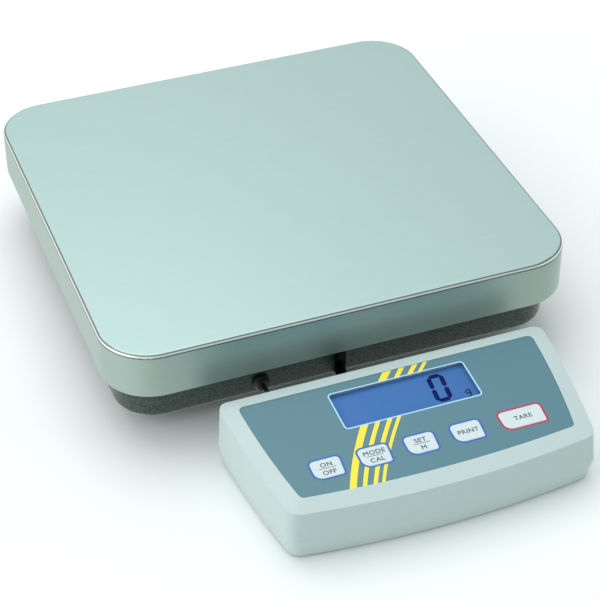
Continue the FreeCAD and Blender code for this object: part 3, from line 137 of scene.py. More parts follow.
# %% Finish helpers
def start_finish(name, colour, **values):
    """A new material, with a colour and values on its main shader's own sockets."""
    material = bpy.data.materials.new(name)
    material.use_nodes = True
    shader = material.node_tree.nodes["Principled BSDF"]
    shader.inputs["Base Color"].default_value = srgb(colour)
    for socket, value in values.items():
        shader.inputs[socket.replace("_", " ")].default_value = value
    return material, shader


def grains(material, size, stretch=(1, 1, 1), detail=2.0):
    """A soft random value from 0 to 1, in grains of a size in metres, squeezed by stretch."""
    place = add(material, "ShaderNodeTexCoord").outputs["Object"]
    drawn = add(material, "ShaderNodeMapping", {"Vector": place, "Scale": stretch}).outputs[0]
    noise_terms = {"Vector": drawn, "Scale": 1 / size, "Detail": detail}
    noise = add(material, "ShaderNodeTexNoise", noise_terms)
    spread = {"Value": noise.outputs[0], "From Min": 0.3, "From Max": 0.7}
    return add(material, "ShaderNodeMapRange", spread).outputs[0]


def texture(material, shader, value, colours=None, roughness=None, depth=None):
    """Let a value from 0 to 1 vary a finish: its colour, its roughness and its height in metres."""
    sockets = material.node_tree.links
    if colours:
        mix = {0: value, 6: colours[0], 7: colours[1]}
        mixed = add(material, "ShaderNodeMix", mix, data_type="RGBA").outputs[2]
        sockets.new(mixed, shader.inputs["Base Color"])
    if roughness:
        limits = {"Value": value, "To Min": roughness[0], "To Max": roughness[1]}
        sockets.new(add(material, "ShaderNodeMapRange", limits).outputs[0], shader.inputs["Roughness"])
    if depth:
        bump = add(material, "ShaderNodeBump", {"Height": value, "Distance": depth, "Strength": 1.0})
        sockets.new(bump.outputs[0], shader.inputs["Normal"])


# %% [markdown]
# ## The free cable
# A thin black cable comes out of the gland in the platform's wall, drops in front of it and
# goes into the back of the display. Both ends show, so its length is what lies between them.
# A cable is a smooth line: a NURBS spline with the route's points as its control points and a
# round bevel for the jacket. The order is set after the points, or the line stays straight.
# Each point carries the jacket's radius, which scales a bevel 1 m deep, so that the object's box
# stays tight round the cable.

# %% Cable route
CABLE_DIAMETER = 3.2 * MM
CABLE_EXIT = Vector((-60, -82.4, 25)) * MM
cable_route = [
    CABLE_EXIT,
    Vector((-60, -86.9, 25)) * MM,
    Vector((-59, -91.3, 22.9)) * MM,
    Vector((-56.7, -95.6, 18.3)) * MM,
    Vector((-54.9, -100.3, 13.9)) * MM,
    Vector((-54, -104.6, 12)) * MM,
    Vector((-54, -108.5, 12)) * MM,
]

print("cable route:", len(cable_route), "points")

# %% Cable piece
cable_curve = bpy.data.curves.new("signal_cable_jacket", "CURVE")
cable_curve.dimensions = "3D"
cable_line = cable_curve.splines.new("NURBS")
cable_line.points.add(len(cable_route) - 1)
for point, place in zip(cable_line.points, cable_route):
    point.co = (*place, 1)
    point.radius = CABLE_DIAMETER / 2
cable_line.order_u = 3
cable_line.use_endpoint_u = True
cable_line.resolution_u = 12
cable_curve.bevel_depth = 1.0
cable_curve.bevel_resolution = 6
cable_curve.use_fill_caps = True
signal_cable = bpy.data.objects.new("signal_cable_jacket", cable_curve)
bpy.context.scene.collection.objects.link(signal_cable)
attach(signal_cable, "base")
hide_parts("signal_cable")

# %% [markdown]
# ## Floor and light
# The scale stands on a plain pale table. A large soft light hangs overhead and a little
# behind, and a second one stands to the left, so the faces that look at the camera are the
# darkest. The table doesn't show in the metal, which mirrors a darker surround below it.

# %% Floor
floor_mesh = bpy.data.meshes.new("floor")
floor_form = bmesh.new()
bmesh.ops.create_grid(floor_form, x_segments=1, y_segments=1, size=4)
floor_form.to_mesh(floor_mesh)
floor_form.free()
floor = bpy.data.objects.new("floor", floor_mesh)
bpy.context.scene.collection.objects.link(floor)
floor.visible_glossy = False
floor_card, floor_shader = start_finish("matt_white_card", "F6F7F7", Roughness=0.9)
texture(floor_card, floor_shader, grains(floor_card, 400 * MM), colours=("F4F5F5", "F8F9F9"))
floor_mesh.materials.append(floor_card)
print("floor:", floor_card.name)

# %% Surround
world = bpy.data.worlds.new("studio")
bpy.context.scene.world = world
world.use_nodes = True
backdrop = world.node_tree.nodes["Background"]
direction = add(world, "ShaderNodeTexCoord").outputs["Generated"]
way = add(world, "ShaderNodeSeparateXYZ", {"Vector": direction})
# the surround below is darkest in front and a little to the right, where the room is open
towards_back = {0: direction, 1: (-0.5, 0.85, 0)}
across_view = add(world, "ShaderNodeVectorMath", towards_back, operation="DOT_PRODUCT")
depth_share = {"Value": across_view.outputs["Value"], "From Min": -0.8, "From Max": 0.05}
behind = add(world, "ShaderNodeMapRange", depth_share)
below_colours = {0: behind.outputs[0], 6: "D3D7CF", 7: "FFFFFA"}
below = add(world, "ShaderNodeMix", below_colours, data_type="RGBA")
height_share = {"Value": way.outputs["Z"], "From Min": -0.3, "From Max": 0.3}
above = add(world, "ShaderNodeMapRange", height_share)
overhead_colours = {0: behind.outputs[0], 6: "A9B6B6", 7: "F0F7F9"}
overhead = add(world, "ShaderNodeMix", overhead_colours, data_type="RGBA")
sky = {0: above.outputs[0], 6: below.outputs[2], 7: overhead.outputs[2]}
surround = add(world, "ShaderNodeMix", sky, data_type="RGBA")
world.node_tree.links.new(surround.outputs[2], backdrop.inputs["Color"])
backdrop.inputs["Strength"].default_value = 0.98
print("surround:", len(world.node_tree.nodes), "nodes")

# %% Lights
# each light: its name, place, the point that it faces, its size in metres and its power
LIGHTS = [
    ("overhead_softbox", (-0.2, 0.7, 1.9), (0, 0.05, 0), 1.8, 15),
    ("left_softbox", (-1.7, -0.3, 0.9), (0, 0, 0.03), 1.2, 7),
    ("right_fill", (1.6, -0.6, 0.8), (0, 0, 0.03), 1.0, 2.5),
]
for name, place, target, size, power in LIGHTS:
    lamp = bpy.data.lights.new(name, "AREA")
    lamp.size = size
    lamp.energy = power
    light = bpy.data.objects.new(name, lamp)
    bpy.context.scene.collection.objects.link(light)
    aim = (Vector(target) - Vector(place)).to_track_quat("-Z", "Y")
    light.matrix_world = Matrix.Translation(place) @ aim.to_matrix().to_4x4()
bpy.context.scene.view_settings.view_transform = "Standard"
print("lights:", len(LIGHTS))

# %% [markdown]
# ## Steel pan
# The pan is deep-drawn from 1 mm stainless steel and finished with a fine satin brush, so it
# looks pale and soft: it mirrors the room only as a blur. Brushing leaves fine scratches along
# X. A metal's colour is its reflection's colour, so the tint is set there and the IOR is left
# alone. The narrow bend between top and skirt shows thin bright and dark lines where it mirrors
# the room. A plain blur loses them, so they are a painted reflection: the surface's slope picks
# them out through a colour ramp that paints them into the steel's colour.

# %% Pan steel
finishes = {}
STEEL_TINT = "B3C8C4"
steel, steel_shader = start_finish("satin_stainless_steel", STEEL_TINT, Metallic=1.0,
                                   Roughness=0.42)
# brush lines are about 0.1 mm wide on the real pan; they are drawn 0.5 mm wide so that they show
brush_lines = grains(steel, 20 * MM, stretch=(1, 40, 40), detail=3.0)
texture(steel, steel_shader, brush_lines, roughness=(0.4, 0.46), depth=0.002 * MM)
# how steeply the surface slopes, from 0 on the skirt to 1 on top, picks out the bend between them:
# there a painted reflection, a bright line between two dark ones, is put into the steel's colour
steel_slope = add(steel, "ShaderNodeNewGeometry").outputs["Normal"]
steepness = add(steel, "ShaderNodeSeparateXYZ", {0: steel_slope}).outputs["Z"]
bend = add(steel, "ShaderNodeValToRGB", {"Fac": steepness})
bend.color_ramp.elements[0].color = srgb(STEEL_TINT)
bend.color_ramp.elements[-1].color = srgb(STEEL_TINT)
for place, shade in ((0.05, STEEL_TINT), (0.13, "4E5A54"), (0.28, "65726C"), (0.42, "FFFFFF"),
                     (0.66, "FFFFFF"), (0.8, "6D7A75"), (0.93, "7F8D88"), (0.985, STEEL_TINT)):
    stop = bend.color_ramp.elements.new(place)
    stop.color = srgb(shade)
brushed = add(steel, "ShaderNodeMix", {0: brush_lines, 6: "F5F8F7", 7: "FFFFFF"}, data_type="RGBA")
# the painted reflection multiplies the brushed colour
painted_reflection_mix = {0: 1.0, 6: bend.outputs["Color"], 7: brushed.outputs[2]}
painted_reflection_colour = add(steel, "ShaderNodeMix", painted_reflection_mix, data_type="RGBA", blend_type="MULTIPLY")
steel.node_tree.links.new(painted_reflection_colour.outputs[2], steel_shader.inputs["Base Color"])
finishes["pan_steel"] = steel
print("pan:", steel.name, "with", len(bend.color_ramp.elements), "stops round its bend")

# %% [markdown]
# ## Base casing
# The casing under the pan is folded sheet steel with a near-black green hammer-finish paint.
# That paint dries in small dimples a millimetre or so across, and each one catches a speck of
# light. A Voronoi pattern has the same rounded cells, so its distance makes the dimples, and it
# also paints that speck into the colour: a painted highlight, lighter in each dimple's middle.

# %% Hammer-finish paint
DIMPLE_SIZE = 1.3 * MM
hammer, hammer_shader = start_finish("dark_hammertone_paint", "1B2922", Roughness=0.36,
                                     Specular_IOR_Level=0.45)
hammer_place = add(hammer, "ShaderNodeTexCoord").outputs["Object"]
dimples = add(hammer, "ShaderNodeTexVoronoi", {"Vector": hammer_place, "Scale": 1 / DIMPLE_SIZE})
# the dimples' distance sets a painted highlight in each dimple's middle, as well as its roughness and
# bump
texture(hammer, hammer_shader, dimples.outputs["Distance"], colours=("4C635D", "0A1412"),
        roughness=(0.26, 0.46), depth=0.05 * MM)
finishes["hammertone_paint"] = hammer
print("base casing:", hammer.name)

# %% [markdown]
# ## Working metals
# Inside, the load cell is milled aluminium with fine cutter lines, and the carrier frame is
# cast aluminium with a pebbly skin from its mould. Screws, nuts and studs are steel, plated
# with zinc or blackened: plating is smooth but a little cloudy.

# %% Metals inside the base
milled, milled_shader = start_finish("milled_aluminium", "C9CBCC", Metallic=1.0, Roughness=0.32)
texture(milled, milled_shader, grains(milled, 12 * MM, stretch=(30, 1, 1)),
        colours=("BFC2C3", "D2D4D5"), roughness=(0.24, 0.4), depth=0.01 * MM)
finishes["machined_aluminium"] = milled

cast, cast_shader = start_finish("cast_aluminium", "A9ACAD", Metallic=1.0, Roughness=0.55)
texture(cast, cast_shader, grains(cast, 1.5 * MM, detail=3.0),
        colours=("9A9DA0", "B7BABB"), roughness=(0.45, 0.68), depth=0.08 * MM)
finishes["cast_aluminium"] = cast

# each plated or blackened steel: its slot, its name, its two colours and its two roughnesses
STEELS = [
    ("zinc_steel", "zinc_plated_steel", ("AEB4B6", "C6CBCC"), (0.25, 0.42)),
    ("screw_steel", "stainless_screw_steel", ("B9BBBB", "D0D2D2"), (0.2, 0.34)),
    ("black_steel", "black_coated_steel", ("0B100D", "1C211E"), (0.35, 0.5)),
    ("black_screw", "blackened_screw_steel", ("15181A", "2A2D2F"), (0.28, 0.45)),
]
for slot, name, colours, roughness in STEELS:
    plated, plated_shader = start_finish(name, colours[0], Metallic=1.0)
    texture(plated, plated_shader, grains(plated, 3 * MM, detail=4.0), colours, roughness, 0.01 * MM)
    finishes[slot] = plated
print("metals:", len(finishes))

# %% [markdown]
# ## Moulded plastics and rubber
# ABS, nylon and rubber come out of a mould whose spark-eroded steel gives them a fine even
# grain. It is too shallow to see as a shape, so it shows mostly as a softer gloss: a little bump
# and a roughness that wanders. Real grain is 0.1 to 0.3 mm across, and it is drawn 0.5 to 1.5 mm
# across so that it shows. The housing is pale and dull, the nylon and the cable's jacket are
# black with a low sheen, the rubber is nearly matt, and the key film and light guide are milky.

# %% Plastics and rubbers
# each plastic: its slot, name, two colours, two roughnesses, and its grain's size and depth in mm
PLASTICS = [
    ("housing_abs", "pale_grey_textured_abs", ("BACBC9", "C3D3D1"), (0.42, 0.56), 0.6, 0.015),
    ("black_plastic", "black_moulded_nylon", ("0D1210", "191E1C"), (0.38, 0.55), 0.8, 0.02),
    ("vial_plastic", "black_level_housing", ("101413", "1D2221"), (0.3, 0.45), 0.6, 0.01),
    ("cable_jacket", "black_pvc_jacket", ("060B09", "131816"), (0.3, 0.42), 1.5, 0.02),
    ("black_rubber", "moulded_black_rubber", ("121413", "202322"), (0.62, 0.8), 0.7, 0.03),
    ("white_nylon", "natural_white_nylon", ("DAD8CC", "E8E6DB"), (0.4, 0.52), 0.8, 0.01),
    ("light_guide", "frosted_acrylic_light_guide", ("D4E6F2", "E4F0F7"), (0.3, 0.5), 1.0, 0.01),
    ("key_film", "matt_pale_key_film", ("CCD9DB", "D6E2E4"), (0.4, 0.52), 0.5, 0.006),
]
for slot, name, colours, roughness, size, depth in PLASTICS:
    plastic, plastic_shader = start_finish(name, colours[0], IOR=1.53)
    grain = grains(plastic, size * MM, detail=3.0)
    texture(plastic, plastic_shader, grain, colours, roughness, depth * MM)
    finishes[slot] = plastic
# soft PVC is wiped smooth as it leaves its die, so the jacket shines a little more than the rest
jacket_shader = finishes["cable_jacket"].node_tree.nodes["Principled BSDF"]
jacket_shader.inputs["Specular IOR Level"].default_value = 0.6
print("plastics and rubbers:", len(PLASTICS))

# %% [markdown]
# ## Electronics
# A circuit board is glass-fibre sheet under green solder mask, with copper tracks that stand up
# just enough to be seen. The tracks are drawn with a brick pattern: long narrow bricks, 2.5 mm
# apart, read as runs of track. Capacitor cans and the battery have printed metal sleeves.

# %% Circuit board and capacitors
board, board_shader = start_finish("green_solder_mask", "1F5A3A", Roughness=0.34, IOR=1.5)
board_place = add(board, "ShaderNodeTexCoord").outputs["Object"]
track_size = {"Vector": board_place, "Scale": 1 / (10 * MM), "Mortar Size": 0.012}
track_colours = {"Color1": "000000", "Color2": "000000", "Mortar": "FFFFFF"}
tracks = add(board, "ShaderNodeTexBrick", {**track_size, **track_colours})
texture(board, board_shader, tracks.outputs["Fac"], colours=("1C5637", "2F7A50"),
        roughness=(0.3, 0.42), depth=0.03 * MM)
finishes["circuit_board"] = board

can, can_shader = start_finish("capacitor_sleeve", "22304A", Roughness=0.3, IOR=1.5)
texture(can, can_shader, grains(can, 4 * MM), colours=("1D2A42", "2A3A57"),
        roughness=(0.24, 0.4), depth=0.01 * MM)
finishes["capacitor_can"] = can
print("electronics:", board.name, "and", can.name)

# %% Battery sleeve
# the battery's sleeve is split into a dark body and a copper-coloured shoulder, along its length
SHOULDER_SHARE = 0.72
battery_low, battery_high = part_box("battery")
sleeve, sleeve_shader = start_finish("printed_battery_sleeve", "2B2D2F", Metallic=0.6, Roughness=0.35)
sleeve_place = add(sleeve, "ShaderNodeTexCoord").outputs["Object"]
sleeve_x = add(sleeve, "ShaderNodeSeparateXYZ", {0: sleeve_place}).outputs["X"]
shoulder_x = battery_low.x + SHOULDER_SHARE * (battery_high.x - battery_low.x)
shoulder = add(sleeve, "ShaderNodeMath", {0: sleeve_x, 1: shoulder_x}, operation="GREATER_THAN")
texture(sleeve, sleeve_shader, shoulder.outputs[0], colours=("26282B", "B5773F"))
finishes["battery_can"] = sleeve
print("finishes so far:", len(finishes))

# %% [markdown]
# ## Printed overlay
# The face is one polyester film, printed on its back in blue-grey, with four yellow stripes
# that sweep from the back edge to the front left and draw together as they go. Each stripe's
# middle is the first stripe's curve plus a spread that shrinks forwards. So one value, the
# distance from the first stripe divided by the spread, tells which stripe a point is in, and
# one colour ramp holds all the stripes' edges.

# %% Stripe sizes
YELLOW = "FBE31E"
OVERLAY_BLUE = "4A7B88"
# each stripe's middle and width in millimetres, at the overlay's back edge
STRIPES = [(0.0, 5.8), (9.9, 3.7), (18.9, 3.7), (25.8, 3.0)]
# the first stripe's middle is START + LEAN * forward + BEND * forward squared, in millimetres
STRIPE_START = -0.87
STRIPE_LEAN = -0.899
STRIPE_BEND = 0.00273
# the stripes are spread by START + CHANGE * forward times their places at the back edge
SPREAD_START = 1.02
SPREAD_CHANGE = -0.003
RAMP_START = -10.0
RAMP_LENGTH = 50.0
print("stripes:", len(STRIPES))

# %% Overlay film
film, film_shader = start_finish("printed_polyester_film", OVERLAY_BLUE, Roughness=0.36, IOR=1.6)
film_place = add(film, "ShaderNodeTexCoord").outputs["Object"]
to_face = (1 / MM, -1 / (MM * math.cos(TILT)), 1 / MM)
to_origin = (-FACE_ORIGIN.x * to_face[0], -FACE_ORIGIN.y * to_face[1], 0)
flattened = {"Vector": film_place, "Scale": to_face, "Location": to_origin}
film_flat = add(film, "ShaderNodeMapping", flattened)
film_parts = add(film, "ShaderNodeSeparateXYZ", {0: film_flat.outputs[0]})
across, forward = film_parts.outputs["X"], film_parts.outputs["Y"]
lean_terms = {0: forward, 1: STRIPE_BEND, 2: STRIPE_LEAN}
lean = add(film, "ShaderNodeMath", lean_terms, operation="MULTIPLY_ADD")
curve_terms = {0: lean.outputs[0], 1: forward, 2: STRIPE_START}
first_stripe = add(film, "ShaderNodeMath", curve_terms, operation="MULTIPLY_ADD")
spread_terms = {0: forward, 1: SPREAD_CHANGE, 2: SPREAD_START}
spread = add(film, "ShaderNodeMath", spread_terms, operation="MULTIPLY_ADD")
offset = add(film, "ShaderNodeMath", {0: across, 1: first_stripe.outputs[0]}, operation="SUBTRACT")
share = add(film, "ShaderNodeMath", {0: offset.outputs[0], 1: spread.outputs[0]}, operation="DIVIDE")
ramp_place = {"Value": share.outputs[0], "From Min": RAMP_START, "From Max": RAMP_START + RAMP_LENGTH}
position = add(film, "ShaderNodeMapRange", ramp_place)
bands = add(film, "ShaderNodeValToRGB", {"Fac": position.outputs[0]})
bands.color_ramp.interpolation = "CONSTANT"
bands.color_ramp.elements[0].color = srgb(OVERLAY_BLUE)
bands.color_ramp.elements.remove(bands.color_ramp.elements[1])
for middle, width in STRIPES:
    for edge, colour in ((middle - width / 2, YELLOW), (middle + width / 2, OVERLAY_BLUE)):
        stop = bands.color_ramp.elements.new((edge - RAMP_START) / RAMP_LENGTH)
        stop.color = srgb(colour)
# the film's velvet grain is finer than 0.1 mm and is drawn 0.5 mm across so that it shows; it
# breaks up the film's gloss a little
velvet = grains(film, 0.5 * MM, detail=3.0)
film.node_tree.links.new(bands.outputs["Color"], film_shader.inputs["Base Color"])
texture(film, film_shader, velvet, roughness=(0.32, 0.42), depth=0.004 * MM)
finishes["overlay_film"] = film
print("overlay:", film.name, "with", len(bands.color_ramp.elements), "bands")

# %% [markdown]
# ## Display window
# A clear acrylic window lies over a blue backlit liquid-crystal glass. The acrylic is nearly
# invisible and only glints. The glass's blue is a little lighter towards its left edge and drifts
# across it, and the backlight gives off a little light of its own.

# %% Acrylic and liquid-crystal glass
acrylic, acrylic_shader = start_finish("clear_acrylic", "10181C", Roughness=0.08, IOR=1.49, Alpha=0.08,
                                       Specular_IOR_Level=0.15)
texture(acrylic, acrylic_shader, grains(acrylic, 30 * MM), roughness=(0.05, 0.12))
finishes["window_acrylic"] = acrylic

lcd_low, lcd_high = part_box("lcd_glass")
liquid, liquid_shader = start_finish("blue_backlit_lcd", "4C7EBA", Roughness=0.2, IOR=1.5,
                                    Emission_Strength=0.07, Specular_IOR_Level=0.15)
liquid_place = add(liquid, "ShaderNodeTexCoord").outputs["Object"]
liquid_parts = add(liquid, "ShaderNodeSeparateXYZ", {0: liquid_place})
# the blue drifts from a little lighter at the glass's left edge to darker at its right
drift_terms = {"Value": liquid_parts.outputs["X"], "From Min": lcd_low.x, "From Max": lcd_high.x}
drift = add(liquid, "ShaderNodeMapRange", drift_terms)
texture(liquid, liquid_shader, drift.outputs[0], colours=("4F83CE", "4A7DC0"))
liquid_shader.inputs["Emission Color"].default_value = srgb("5C93D8")
finishes["lcd_glass"] = liquid
print("window:", acrylic.name, "over", liquid.name)

# %% [markdown]
# ## Finish every carried-over piece
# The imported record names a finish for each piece. Each piece of the frame gets that material
# here, and the pieces that are modelled in more detail below take theirs from the same list.

# %% Paint the frame
slot_of = {part["node"]: part["material_slot"] for part in frame["record"]["subparts"]}
for name, node in frame["nodes"].items():
    node.data.materials.clear()
    node.data.materials.append(finishes[slot_of[name]])
signal_cable.data.materials.append(finishes["cable_jacket"])
print("painted", len(slot_of), "pieces with", len(set(slot_of.values())), "finishes")

# %% [markdown]
# ## Making pieces
# Each new piece starts as a bmesh form. One function turns the form into an object, gives it
# its materials, and ties it to the body that it moves with. A second one spins an outline of
# radius and height pairs round a vertical axis, as a lathe or a round mould does.

# %% Piece helpers
def place_piece(name, form, body, slot, replaces=()):
    """Turn a bmesh form into a finished piece. It rides on a body, if one is given."""
    bmesh.ops.remove_doubles(form, verts=form.verts, dist=0.001 * MM)
    bmesh.ops.recalc_face_normals(form, faces=form.faces)
    mesh = bpy.data.meshes.new(name)
    form.to_mesh(mesh)
    form.free()
    mesh.materials.append(finishes[slot])
    piece = bpy.data.objects.new(name, mesh)
    bpy.context.scene.collection.objects.link(piece)
    if body:
        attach(piece, body)
    if replaces:
        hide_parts(*replaces)
    return piece


def turn(form, outline, middle, steps=32):
    """Spin an outline of (radius, height) pairs in metres round a vertical axis at middle."""
    points = [form.verts.new((middle[0] + radius, middle[1], height)) for radius, height in outline]
    edges = [form.edges.new(pair) for pair in zip(points, points[1:])]
    bmesh.ops.spin(form, geom=points + edges, cent=(middle[0], middle[1], 0), axis=(0, 0, 1),
                   angle=math.tau, steps=steps, use_merge=True)


# %% [markdown]
# ## Keys
# Each key is a patch of the film, pressed up over a small dome switch. It is pale, has a
# printed line round its edge, blue for the ordinary keys and crimson for the tare key, and its
# corners are rounded: broadly at the front left and tightly elsewhere. A flat rectangle with
# bevelled corners and a raised middle makes the key, with a short plunger down to its switch,
# and the line is a larger patch with its middle taken out, which stays on the film.

# %% Inks
def line_finish(name, first, second, gloss=0.5):
    """A printed ink or a dark display segment: flat and even, with a slight mottle."""
    ink, ink_shader = start_finish(name, first, Roughness=0.4, Specular_IOR_Level=gloss)
    texture(ink, ink_shader, grains(ink, 1 * MM), colours=(first, second), roughness=(0.36, 0.46))
    return ink


blue_ink = line_finish("blue_printed_line", "1F5BAE", "2A68B8")
crimson_ink = line_finish("crimson_printed_line", "B5174A", "C02354")
grey_ink = line_finish("grey_printed_legend", "3F4C56", "4B5963")
digit_ink = line_finish("dark_liquid_crystal", "0A1A66", "10226F", gloss=0.05)
pale_ink = line_finish("pale_blue_printed_line", "A6D6F6", "B2DFFD")
print("inks:", blue_ink.name, crimson_ink.name, grey_ink.name, digit_ink.name, pale_ink.name)

# %% Key sizes
# the keys' sizes in millimetres
KEY_FORWARD = 64.8
KEY_DEPTH = 15.0
KEY_LEAN = 1.2
KEY_RISE = 0.25
KEY_SLOPE = 0.5
KEY_SKIRT = 0.3
PLUNGER_TOP = 2.5
PLUNGER_FOOT = 2.3
KEY_RADII = (5.5, 1.5, 3.0, 3.0)
KEY_LINE = 1.3
# each key: its node, how far across its middle is, its width and its outline
KEYS = [
    ("key_on_off", -65.8, 19.4, blue_ink),
    ("key_mode", -35.0, 19.4, blue_ink),
    ("key_set", -4.7, 19.4, blue_ink),
    ("key_print", 26.0, 19.4, blue_ink),
    ("key_tare", 63.0, 28.5, crimson_ink),
]
print("keys to make:", [key[0] for key in KEYS])

# %% Flat shapes

def rounded_patch(form, width, depth, radii, lean=0.0):
    """A flat rectangle in millimetres, with radii from its front left corner anticlockwise."""
    bmesh.ops.create_grid(form, x_segments=1, y_segments=1, size=0.5)
    bmesh.ops.scale(form, vec=(width * MM, depth * MM, 1), verts=form.verts)
    corners = sorted(form.verts, key=lambda corner: math.atan2(corner.co.y, corner.co.x))
    corners[1].co.x -= lean * MM
    for corner, radius in zip(corners, radii):
        bmesh.ops.bevel(form, geom=[corner], offset=radius * MM, segments=8, profile=0.5,
                        affect="VERTICES", material=-1)


def printed_line(name, size, radii, lean, thickness, matrix, ink):
    """A line printed on the film round an opening of a size in millimetres."""
    form = bmesh.new()
    width, depth = [side + 2 * thickness for side in size]
    rounded_patch(form, width, depth, [radius + thickness for radius in radii], lean)
    line = bmesh.ops.inset_region(form, faces=form.faces[:], thickness=thickness * MM,
                                  use_boundary=True, use_even_offset=True)
    middle = [face for face in form.faces if face not in line["faces"]]
    bmesh.ops.delete(form, geom=middle, context="FACES")
    bmesh.ops.solidify(form, geom=form.faces[:], thickness=0.02 * MM)
    bmesh.ops.transform(form, matrix=matrix, verts=form.verts)
    piece = place_piece(name, form, "base", "overlay_film")
    piece.data.materials[0] = ink
    return piece


# %% Key shape
def key_piece(name, across, width):
    """A key's raised patch and its plunger."""
    form = bmesh.new()
    rounded_patch(form, width, KEY_DEPTH, KEY_RADII, KEY_LEAN)
    slope = bmesh.ops.inset_region(form, faces=form.faces[:], thickness=KEY_SLOPE * MM,
                                   use_boundary=True, use_even_offset=True)
    middle = [face for face in form.faces if face not in slope["faces"]]
    raised = {corner for face in middle for corner in face.verts}
    bmesh.ops.translate(form, vec=(0, 0, KEY_RISE * MM), verts=list(raised))
    rim = [edge for edge in form.edges if edge.is_boundary]
    skirt = bmesh.ops.extrude_edge_only(form, edges=rim)
    lowered = [part for part in skirt["geom"] if isinstance(part, bmesh.types.BMVert)]
    bmesh.ops.translate(form, vec=(0, 0, -KEY_SKIRT * MM), verts=lowered)
    bmesh.ops.holes_fill(form, edges=[edge for edge in form.edges if edge.is_boundary], sides=0)
    low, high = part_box(name)
    tilt_drop = math.sin(TILT) * KEY_DEPTH * MM
    plunger_length = (high.z - low.z) - KEY_SKIRT * MM - KEY_RISE * MM - tilt_drop
    below = Matrix.Translation((0, 0, -KEY_SKIRT * MM - plunger_length / 2))
    bmesh.ops.create_cone(form, cap_ends=True, segments=24, radius1=PLUNGER_FOOT * MM,
                          radius2=PLUNGER_TOP * MM, depth=plunger_length, matrix=below)
    bmesh.ops.transform(form, matrix=on_face(across, KEY_FORWARD), verts=form.verts)
    return place_piece(name + "_patch", form, name, "key_film", [name])


# %% Place the keys and their lines
LINE_ABOVE = 0.03
for node_name, across, width, ink in KEYS:
    key_piece(node_name, across, width)
    printed_line("line_" + node_name, (width, KEY_DEPTH), KEY_RADII, KEY_LEAN, KEY_LINE,
                 on_face(across, KEY_FORWARD, LINE_ABOVE), ink)
print("keys:", len(KEYS))

# %% [markdown]
# ## Legends
# The key names are printed in plain grey capitals. A text object gives the letter shapes: it is
# made a mesh, laid on its key and tied to the key's body, so that it moves with the key.

# %% Legend sizes and words
LETTER_SIZE = 4.8
LETTER_WEIGHT = 0.1 * MM
LETTER_FLATNESS = 0.08
FLAT_TOP = KEY_RISE + 0.01
# each legend: its words, its body, and its place across and forward
LEGENDS = [
    ("ON", "key_on_off", -65.8, 63.7),
    ("OFF", "key_on_off", -65.8, 70.1),
    ("MODE", "key_mode", -35.0, 63.7),
    ("CAL", "key_mode", -35.0, 70.1),
    ("SET", "key_set", -4.7, 63.7),
    ("M", "key_set", -4.7, 70.1),
    ("PRINT", "key_print", 26.0, 66.5),
    ("TARE", "key_tare", 63.0, 66.5),
]
# the lines between a key's two words: the keys, their middles and the lines' common size
DIVIDED_KEYS = (("key_on_off", -65.8), ("key_mode", -35.0), ("key_set", -4.7))
DIVIDER_FORWARD = 64.9
DIVIDER_SIZE = (11 * MM, 0.45 * MM, 0.012 * MM)
print("legends to print:", [legend[0] for legend in LEGENDS])

# %% Legend pieces

def legend_piece(words, body, across, forward):
    """One printed legend as a thin flat mesh."""
    name = "legend_" + words.lower()
    letters = bpy.data.curves.new(name, "FONT")
    letters.body = words
    letters.size = LETTER_SIZE * MM
    letters.align_x = "CENTER"
    letters.bevel_depth = LETTER_WEIGHT
    letters.bevel_resolution = 0
    letters.space_character = 1.08
    letters.resolution_u = 4
    sample = bpy.data.objects.new(name + "_curve", letters)
    mesh = bpy.data.meshes.new_from_object(sample)
    bpy.data.objects.remove(sample)
    form = bmesh.new()
    form.from_mesh(mesh)
    bmesh.ops.scale(form, vec=(1, 1, LETTER_FLATNESS), verts=form.verts)
    bmesh.ops.transform(form, matrix=on_face(across, forward, FLAT_TOP), verts=form.verts)
    piece = place_piece(name, form, body, "key_film")
    piece.data.materials[0] = grey_ink
    return piece


for words, body, across, forward in LEGENDS:
    legend_piece(words, body, across, forward)
for body, across in DIVIDED_KEYS:
    form = bmesh.new()
    bmesh.ops.create_cube(form, size=1)
    bmesh.ops.scale(form, vec=DIVIDER_SIZE, verts=form.verts)
    bmesh.ops.transform(form, matrix=on_face(across, DIVIDER_FORWARD, FLAT_TOP), verts=form.verts)
    divider = place_piece("divider_" + body, form, body, "key_film")
    divider.data.materials[0] = grey_ink
print("legends and dividers:", len(LEGENDS), "and", len(DIVIDED_KEYS))

# %% [markdown]
# ## Window surround and digits
# A thin pale blue line is printed round the window. Behind the window the glass shows a large
# zero and a small unit letter. Each digit's bar is a rectangle whose corners are cut back until
# its ends are points, as real segments are, and six bars leaning a little make the zero.

# %% Window line
window_low, window_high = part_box("lcd_window")
WINDOW_LIP = 1.0
WINDOW_WIDTH = (window_high.x - window_low.x) / MM - 2 * WINDOW_LIP
WINDOW_SIZE = (WINDOW_WIDTH, 30.6)
WINDOW_MIDDLE = (((window_low.x + window_high.x) / 2 - FACE_ORIGIN.x) / MM, 22.9)
WINDOW_RADII = (2.0, 2.0, 2.0, 2.0)
LINE_WIDTH = 1.0
printed_line("line_window", WINDOW_SIZE, WINDOW_RADII, 0.0, LINE_WIDTH,
             on_face(*WINDOW_MIDDLE, LINE_ABOVE), pale_ink)
print("window:", [round(size, 1) for size in WINDOW_SIZE], "mm")

# %% Digit sizes
# the digits' height above the face and their bars' width in millimetres, and their slant
DIGIT_ABOVE = -2.77
BAR = 3.1
UNIT_BAR = 0.95
DIGIT_LEAN = 0.08
